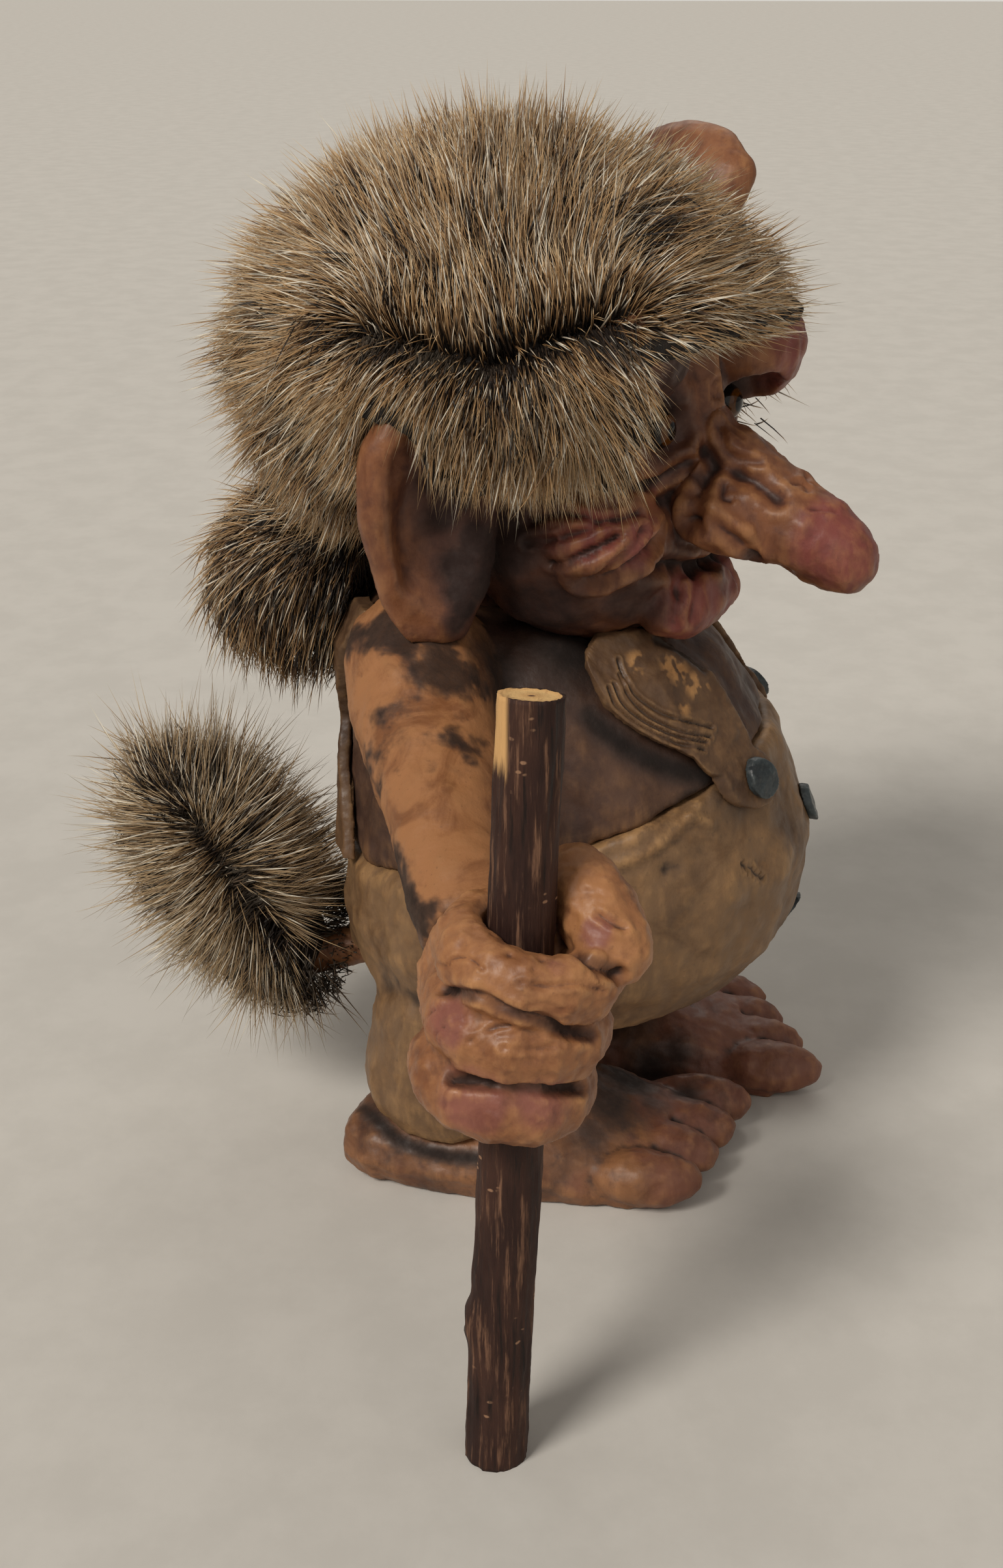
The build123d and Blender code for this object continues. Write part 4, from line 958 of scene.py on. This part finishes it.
bmesh.ops.subdivide_edges(twigShape, edges=upright, cuts=twigPlan["rings"], use_grid_fill=True)
ends = [f for f in twigShape.faces if len(f.verts) > 4]
for thickness, depth in twigPlan["ends"]:
    sizes = {"thickness": thickness * mm, "depth": depth * mm}
    bmesh.ops.inset_region(twigShape, faces=ends, use_even_offset=True, **sizes)
twigShape.normal_update()
rimWidth = twigPlan["footRadius"] - twigPlan["bark"] - twigPlan["rimClear"]
for face in twigShape.faces:
    face.smooth = True
    sawn = abs(face.normal.z) > twigPlan["flat"] and face.calc_center_median().xy.length < rimWidth * mm
    face.material_index = 1 if sawn else 0
slope, cutStart = math.tan(math.radians(twigPlan["cutSlope"])), twigPlan["cutStart"]
knot = twigPlan["knot"]
for vert in twigShape.verts:
    place = vert.co / mm
    radius, share = place.xy.length, place.z / twigPlan["length"]
    if radius > rimWidth:  # ribs of bark, and a knot with a scar
        away = Vector((place.x, place.y, 0)).normalized()
        ridge = noise.fractal(Vector((away.x * 5, away.y * 5, place.z * 0.05)), 0.8, 2.0, 4)
        fine = noise.fractal(Vector((away.x * 16, away.y * 16, place.z * 0.12 + 9)), 0.7, 2.0, 3)
        bend = noise.noise(Vector((away.x * 1.2, away.y * 1.2, place.z * 0.02)))
        depth = ridge * twigPlan["ribs"] + fine * twigPlan["fine"] + bend * twigPlan["bends"]
        depth -= twigPlan["sink"]
        around = math.atan2(away.y, away.x) - math.pi / 2
        around = math.atan2(math.sin(around), math.cos(around))
        rise = place.z - knot["height"]
        near = (around * knot["girth"] / knot["wide"]) ** 2 + (rise / knot["tall"]) ** 2
        depth += knot["swell"] * math.exp(-near) - knot["scar"] * math.exp(-near * 6)
        vert.co += away * (min(depth, twigPlan["most"]) if abs(rise) > knot["reach"] else depth) * mm
    if share > cutStart:  # the top is sawn at a slant
        vert.co.z -= slope * vert.co.x * min(1, (share - cutStart) / (1 - cutStart))
        if radius < rimWidth and share > 0.98:
            vert.co.z += noise.noise(Vector((place.x * 2.5, place.y * 0.7, 3.0))) * 0.22 * mm
staffTurn = Matrix.Rotation(math.radians(twigPlan["lean"]), 4, "X")
staffPlace = Matrix.Translation(Vector(twigPlan["foot"]) * mm) @ staffTurn
bmesh.ops.transform(twigShape, matrix=staffPlace, verts=twigShape.verts)
for vert in twigShape.verts:
    vert.co.z = max(vert.co.z, 0.0)
twigMesh = bpy.data.meshes.new("twig")
twigShape.to_mesh(twigMesh)
twigShape.free()

peelPlan = {"edge": (-23.4, -22.4), "foot": (156.0, 161.0), "fray": 16.0}  # mm: back to front, then height
bark = Finish("twigBark")
streaks = bark.cloud(1.6, 5.0, 0.65, bark.place((1, 1, 0.07)))
broad = bark.cloud(7.0, 4.0, 0.6, bark.place((1, 1, 0.3)))
spots = bark.cells(2.6, bark.place((0.55, 0.55, 1.0)))
color = bark.blend(bark.step(broad, 0.35, 0.65), paint(46, 27, 22), paint(66, 42, 33))
color = bark.blend(bark.step(streaks, 0.52, 0.72), color, paint(132, 97, 75))
color = bark.blend(bark.step(streaks, 0.46, 0.3), color, paint(28, 17, 14))
color = bark.blend(bark.step(spots, 0.17, 0.1) * bark.step(broad, 0.5, 0.6), color, paint(150, 114, 88))
frayed = bark.axis("Z") + (streaks - 0.5) * (peelPlan["fray"] * mm)
peel = bark.step(bark.axis("Y"), *(edge * mm for edge in peelPlan["edge"]))
peel = peel * bark.step(frayed, *(height * mm for height in peelPlan["foot"]))
color = bark.blend(peel, color, paint(214, 168, 112))
bark.shade({
    "Base Color": color, "Roughness": bark.step(streaks, 0.3, 0.7, 0.55, 0.8),
    "Specular IOR Level": 0.25, "Normal": bark.relief(streaks, 0.5),
})
wood = Finish("twigWood")
twigTop = staffPlace @ Vector((0, 0, twigPlan["length"] * mm))
coords = wood.node("ShaderNodeTexCoord", output="Object")
flat = wood.aim("MULTIPLY", wood.aim("SUBTRACT", coords, tuple(twigTop)), (1, 1, 0))
span = wood.aim("LENGTH", flat, output="Value")
wander = wood.cloud(4.0, 3.0)
rings = (span * (1 / (0.9 * mm)) + wander * 1.5).sum("SINE", 0.0)
saw = wood.cloud(1.2, 4.0, 0.6, wood.place((0.2, 1, 1), (0, 0, 0.5)))
color = wood.blend(rings * 0.25 + 0.4, paint(222, 182, 122), paint(196, 148, 92))
color = wood.blend(wood.step(saw, 0.55, 0.75) * 0.6, color, paint(150, 106, 64))
color = wood.blend(wood.step(span, 0.9 * mm, 0.4 * mm), color, paint(96, 62, 38))
wood.shade({"Base Color": color, "Roughness": 0.75, "Normal": wood.relief(saw + rings * 0.2, 0.25)})
addPiece("twig", twigMesh, "staff", ("staff",), (bark, wood))
print("twig ready")


# Fur: one undercoat under the wig, one in the tail, and strands that end on each pelt's own form

furPlan = {
    "fur_crown": {"name": "furCrown", "depth": 12, "strands": 21500, "length": (20, 32), "seed": 3},
    "fur_right": {"name": "furRight", "depth": 11, "strands": 9800, "length": (18, 30), "seed": 5},
    "fur_left": {"name": "furLeft", "depth": 11, "strands": 6500, "length": (18, 30), "seed": 7},
    "fur_back": {"name": "furBack", "depth": 12, "strands": 12300, "length": (20, 32), "seed": 11},
    "fur_nape": {"name": "furNape", "depth": 10, "strands": 7000, "length": (18, 30), "seed": 13},
    "tail_tuft": {"name": "tailTuft", "depth": 20, "strands": 12400, "length": (26, 40), "seed": 17},
}
wigPlan = {
    "middle": facePlace(0, -6, 205), "reach": (72.5, 72.5, 58.0),
    "nape": np.array((41.2, 30.0, 152.0)) * mm,
    "parting": np.array([
        (-25.6, 18.9, 221.8), (-31.8, 3.6, 219.6), (-34.4, -12.6, 215.5), (-31.6, -26.5, 221.8),
        (-23.1, -45.5, 226.3),
    ]) * mm,
    "bare": 5.0, "hole": 10.0, "rimShare": 0.7, "seat": 2.5, "fall": 0.35, "napeFall": 1.2,
    "lean": ((0, 35, 70), (0.8, 0.7, 0.4)), "napeLean": 0.42, "leastRun": 5.0,  # by mm from the parting
    "browLeft": 36.0, "browFront": 28.0, "browHeight": 214.0, "browShare": 0.025,
    "farDrop": 6.0, "farLeft": (2.0, 30.0), "farHeight": (222.0, 20.0),  # its start, and over how much
    "coat": ((-0.4, -0.1, 0.3, 0.6), (0.0, -4.0, -5.0, -8.0)),  # how far it faces out, and mm of push
}
tailMiddle = np.array((31.2, 60.95, 67.15))
tuftPlan = {
    "middle": tailMiddle * mm, "axis": np.array((0.0, 0.545, 0.838)), "bare": 6.5,
    "part": (tailMiddle + np.array((-0.88, -0.05, 0.45)) * 31) * mm,  # on the parting, 31 mm out
    "outShare": 0.6, "combShare": 0.45, "coatWidth": 0.5, "coatLength": 0.72,
    "shaft": np.array((26.0, 30.0, 44.0)) * mm, "shaftClear": 20.0,
    "lean": 0.5, "leastRun": 3.0, "wildMore": 0.6, "fuzz": (-6.0, 1.5),
}
strandPlan = {
    "thick": 0.18, "knots": 4, "perPiece": 12400, "quickPart": 6,
    "spread": (0.7, 1.25), "guardShare": 0.16, "guardThick": 1.35,
    "fuzz": (-7.0, 2.5), "wildShare": 0.2, "wildRise": (2.0, 8.0), "runShare": 0.85, "shift": 2.5,
    "locks": (14.0, 2.3, 0.45), "curls": (5.0, 7.9, 0.15), "stray": 0.14,  # size, offset, strength
    "curlShift": 0.8, "strayShift": 0.5, "bend": (0.02, 0.12),
}


def furFinish(name, coat):
    look = Finish(name)
    along, shade = look.read("along"), look.read("shade")
    tone = look.cloud(15.0, 3.0, 0.6)
    shift = along + (shade - 0.5) * 0.34 + (tone - 0.5) * 0.3
    stops = [(0.2, coat["root"]), (0.47, coat["middle"]), (0.7, coat["band"]), (0.95, coat["tip"])]
    color = look.ramp(shift, stops)
    color = look.blend(look.step(shade, 0.66, 0.95) * 0.55, color, coat["dark"])
    color = look.blend(look.step(shade, 0.22, 0.1) * look.step(along, 0.35, 0.7), color, coat["silver"])
    color = look.blend(look.step(tone, 0.45, 0.7) * 0.18, color, coat["grey"])
    gloss = look.step(shade, 0.0, 1.0, 0.42, 0.66)
    look.shade({"Base Color": color, "Roughness": gloss, "Specular IOR Level": 0.45})
    return look


wigColors = {
    "root": paint(28, 19, 13), "middle": paint(116, 85, 54), "band": paint(184, 145, 98),
    "tip": paint(248, 217, 172), "dark": paint(84, 62, 42), "silver": paint(240, 231, 212),
    "grey": paint(146, 134, 116),
}
tuftColors = dict(wigColors, middle=paint(122, 98, 70), band=paint(182, 152, 112), tip=paint(226, 204, 168))
wigFinish = furFinish("wigFur", wigColors)
tuftFinish = furFinish("tailFur", tuftColors)
coatFinish = Finish("undercoat")
wool = coatFinish.cloud(1.5, 4.0, 0.7, coatFinish.place((1, 1, 0.35)))
coatColor = coatFinish.blend(coatFinish.step(wool, 0.35, 0.65), paint(18, 13, 10), paint(36, 27, 20))
coatFinish.shade({"Base Color": coatColor, "Roughness": 0.85, "Normal": coatFinish.relief(wool, 1.2)})

profile = bpy.data.curves.new("fibreSection", "CURVE")
profile.dimensions = "2D"
section = profile.splines.new("POLY")
section.points.add(2)
section.use_cyclic_u = True
for point, angle in zip(section.points, (90, 330, 210)):
    point.co = (math.cos(math.radians(angle)), math.sin(math.radians(angle)), 0, 1)
profileObject = bpy.data.objects.new("fibreSection", profile)


def growStrands(name, paths, widths):  # paths: strand, knot, xyz
    curve = bpy.data.curves.new(name, "CURVE")
    curve.dimensions = "3D"
    curve.bevel_mode = "OBJECT"
    curve.bevel_object = profileObject
    knots = paths.shape[1]
    taper = np.interp(np.linspace(0, 1, knots), (0, 0.5, 1), (1.0, 0.85, 0.0))
    rows = np.ones((len(paths), knots, 4))
    rows[:, :, :3] = paths
    for row, width in zip(rows, widths):
        spline = curve.splines.new("POLY")
        spline.points.add(knots - 1)
        spline.points.foreach_set("co", row.ravel())
        spline.points.foreach_set("radius", taper * width)
    holder = bpy.data.objects.new(name + "Curve", curve)
    scene.collection.objects.link(holder)
    mesh = evaluated(holder)
    bpy.data.objects.remove(holder)
    bpy.data.curves.remove(curve)
    mesh.name = name
    return mesh


def closeStrands(mesh):  # a point at each tip and a face under each root
    shape = bmesh.new()
    shape.from_mesh(mesh)
    bmesh.ops.remove_doubles(shape, verts=shape.verts, dist=2e-6)
    bmesh.ops.holes_fill(shape, edges=[e for e in shape.edges if e.is_boundary], sides=3)
    shape.to_mesh(mesh)
    shape.free()


def dots(rows, others):
    return np.einsum("ij,ij->i", rows, others)


def drift(places, size, offset):  # smooth wandering of the fur, about -1 to 1 on each axis
    return np.array([noise.noise_vector(p) for p in places / (size * mm) + offset])


def fromParting(places):  # the way and the mm from the wig's parting
    line = smoothLine(list(wigPlan["parting"]))
    away = places[:, None, :] - line[None, :, :]
    reach = np.linalg.norm(away, axis=2) / mm
    pull = 1 / (reach**2 + 1) ** 2
    return np.einsum("ij,ijk->ik", pull, away) / pull.sum(axis=1)[:, None], reach.min(axis=1)


def furWays(places, node):  # the way out of the pelt, and the way that it is combed
    if node == "tail_tuft":
        gap = places - tuftPlan["middle"]
        rise = gap @ tuftPlan["axis"]
        out = unit(gap - tuftPlan["outShare"] * rise[:, None] * tuftPlan["axis"])
        away = places - tuftPlan["part"]
        away = away - tuftPlan["combShare"] * (away @ tuftPlan["axis"])[:, None] * tuftPlan["axis"]
        return out, unit(away - dots(away, out)[:, None] * out)
    middle = wigPlan["nape"] if node == "fur_nape" else wigPlan["middle"]
    out = unit((places - middle) / np.array(wigPlan["reach"]) ** 2)
    away, _ = fromParting(places)
    comb = unit(away - dots(away, out)[:, None] * out)
    fall = out * out[:, 2:] - np.array((0, 0, 1.0))
    return out, unit(comb + fall * wigPlan["napeFall" if node == "fur_nape" else "fall"])


def tipSpots(node, count, dice):  # random places on the pelt's open faces
    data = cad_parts[node].data
    data.calc_loop_triangles()
    corners = np.array([[data.vertices[v].co for v in t.vertices] for t in data.loop_triangles])
    facing = np.cross(corners[:, 1] - corners[:, 0], corners[:, 2] - corners[:, 0])
    area = np.linalg.norm(facing, axis=1)
    facing = unit(facing)
    out, _ = furWays(corners.mean(axis=1), node)
    rim = dots(out, facing) < 0.3
    chosen = dice.choice(len(area), count * 4, p=area / area.sum())
    u, v = dice.random(count * 4), dice.random(count * 4)
    over = u + v > 1
    u[over], v[over] = 1 - u[over], 1 - v[over]
    a, b, c = corners[chosen, 0], corners[chosen, 1], corners[chosen, 2]
    spots = a + (b - a) * u[:, None] + (c - a) * v[:, None]
    kept = []
    for spot, face in zip(spots, chosen):
        if rim[face]:
            probe = Vector(spot + facing[face] * 1.5 * mm)
            near = min(tree.find_nearest(probe)[3] for other, tree in cadTrees.items() if other != node)
            if near < wigPlan["seat"] * mm or dice.random() > wigPlan["rimShare"]:
                continue  # this face lies against the head or another pelt
        kept.append(spot)
        if len(kept) == count:
            break
    return np.array(kept)


def headWays(places):  # mm to the troll's left and front of the head's middle
    gap = places / mm - headMiddle
    return gap @ headLeft, gap @ headFront


def overBrow(places):
    left, front = headWays(places)
    ahead = (left > wigPlan["browLeft"]) & (front > wigPlan["browFront"])
    return ahead & (places[:, 2] < wigPlan["browHeight"] * mm)


def farSide(places):  # the crown lies lower before the far ear
    left, _ = headWays(places)
    (side, sideBlend), (height, heightBlend) = wigPlan["farLeft"], wigPlan["farHeight"]
    over = np.clip((places[:, 2] / mm - height) / heightBlend, 0, 1)
    return wigPlan["farDrop"] * np.clip((left - side) / sideBlend, 0, 1) * over


def fromTailParting(places):  # mm from the line along the tail
    away = places - tuftPlan["part"]
    away = away - (away @ tuftPlan["axis"])[:, None] * tuftPlan["axis"]
    return np.linalg.norm(away, axis=1) / mm


def furKept(places, node, dice):  # thin along the partings and over the far brow, and off the tail's shaft
    if node == "tail_tuft":
        bareness = fromTailParting(places) / tuftPlan["bare"]
        offShaft = np.linalg.norm(places - tuftPlan["shaft"], axis=1) > tuftPlan["shaftClear"] * mm
        return (dice.random(len(places)) > np.exp(-(bareness**2))) & offShaft
    _, gap = fromParting(places)
    hole = np.linalg.norm(places - wigPlan["parting"][2], axis=1) / mm / wigPlan["hole"]
    bareness = np.minimum(gap / wigPlan["bare"], hole)
    shown = dice.random(len(places)) > np.exp(-(bareness**2))
    return shown & (~overBrow(places) | (dice.random(len(places)) < wigPlan["browShare"]))


for node, plan in furPlan.items():
    dice = np.random.default_rng(plan["seed"])
    isTuft = node == "tail_tuft"
    tips = tipSpots(node, plan["strands"] // (1), dice)
    tips = tips[furKept(tips, node, dice)]
    count = len(tips)
    out, comb = furWays(tips, node)
    locks, curls = strandPlan["locks"], strandPlan["curls"]
    lock, curl, stray = drift(tips, *locks[:2]), drift(tips, *curls[:2]), dice.normal(0, 1, (count, 3))
    comb = unit(comb + lock * locks[2] + curl * curls[2] + stray * strandPlan["stray"])
    length = dice.uniform(*plan["length"], count) * mm
    wild = np.where(
        dice.random(count) < strandPlan["wildShare"], dice.uniform(*strandPlan["wildRise"], count), 0
    )
    rise = dice.uniform(*strandPlan["fuzz"], count) + wild
    if isTuft:
        gap, lean, least = fromTailParting(tips), tuftPlan["lean"], tuftPlan["leastRun"]
        rise = rise + wild * tuftPlan["wildMore"] + dice.uniform(*tuftPlan["fuzz"], count)
    else:
        _, gap = fromParting(tips)
        lean = wigPlan["napeLean"] if node == "fur_nape" else np.interp(gap, *wigPlan["lean"])
        least = wigPlan["leastRun"]
        rise = rise - farSide(tips)
    run = np.minimum(length * lean, np.maximum(gap * strandPlan["runShare"], least) * mm)
    depth = np.minimum(np.sqrt(length**2 - run**2), plan["depth"] * mm)
    roots = tips - comb * run[:, None] - out * depth[:, None]
    shift = dice.normal(0, strandPlan["shift"], count) * mm
    tips = tips + out * (rise * mm)[:, None] + comb * shift[:, None]
    tips = tips + (curl * strandPlan["curlShift"] + stray * strandPlan["strayShift"]) * mm
    bend = (roots + tips) / 2 + out * (length * dice.uniform(*strandPlan["bend"], count))[:, None]
    knots = strandPlan["knots"]
    paths = np.empty((count, knots, 3))
    for k, t in enumerate(np.linspace(0, 1, knots)):
        paths[:, k] = roots * (1 - t) ** 2 + bend * 2 * t * (1 - t) + tips * t**2
    shade = dice.random(count)
    guard = np.where(shade < strandPlan["guardShare"], strandPlan["guardThick"], 1.0)
    widths = dice.uniform(*strandPlan["spread"], count) * guard * strandPlan["thick"] * mm
    slot, finish = ("tail_fur", tuftFinish) if isTuft else ("wig_fur", wigFinish)
    for number, first in enumerate(range(0, count, strandPlan["perPiece"])):
        last = min(first + strandPlan["perPiece"], count)
        name = plan["name"] + "Strands%d" % (number + 1)
        mesh = growStrands(name, paths[first:last], widths[first:last])
        along = np.tile(np.repeat(np.linspace(0, 1, knots), 3), last - first)
        for key, values in (("along", along), ("shade", np.repeat(shade[first:last], knots * 3))):
            layer = mesh.attributes.new(key, "FLOAT", "POINT")
            layer.data.foreach_set("value", np.ascontiguousarray(values, dtype=np.float32))
        closeStrands(mesh)
        addPiece(name, mesh, "figure", (node,), finish)
        print("fur", name, last - first, "strands", len(mesh.polygons), "faces")

coatPlan = {"voxel": 1.8, "wigRounds": 10, "wigFatten": 0.4, "tuftRounds": 6}
pelts = ("fur_crown", "fur_right", "fur_left", "fur_back", "fur_nape")
wigCoat = Skin("wigUndercoat", pelts, coatPlan["voxel"], coatPlan["wigRounds"], coatPlan["wigFatten"])
coatOut, _ = furWays(wigCoat.places, "fur_crown")
coatFacing = dots(coatOut, wigCoat.outward)
wigCoat.push(np.interp(coatFacing, *wigPlan["coat"]) - farSide(wigCoat.places))
_, coatFront = headWays(wigCoat.places)
browBack = np.where(overBrow(wigCoat.places), coatFront - wigPlan["browFront"], 0)
wigCoat.move(-headFront * (browBack * mm)[:, None])
wigCoat.done("figure", coatFinish)
tuftCoat = Skin("tuftUndercoat", ("tail_tuft",), coatPlan["voxel"], coatPlan["tuftRounds"], 0.0)
tuftGap = tuftCoat.places - tuftPlan["middle"]
tuftRise = (tuftGap @ tuftPlan["axis"])[:, None] * tuftPlan["axis"]
tuftCoat.move((tuftGap - tuftRise) * (tuftPlan["coatWidth"] - 1) + tuftRise * (tuftPlan["coatLength"] - 1))
tuftCoat.done("figure", coatFinish)


# The size of everything shown, against the CAD parts

visualLow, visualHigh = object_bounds()
visualSize, cadSize = visualHigh - visualLow, cadHigh - cadLow
print("size", [round(v, 4) for v in visualSize], "against", [round(v, 4) for v in cadSize])
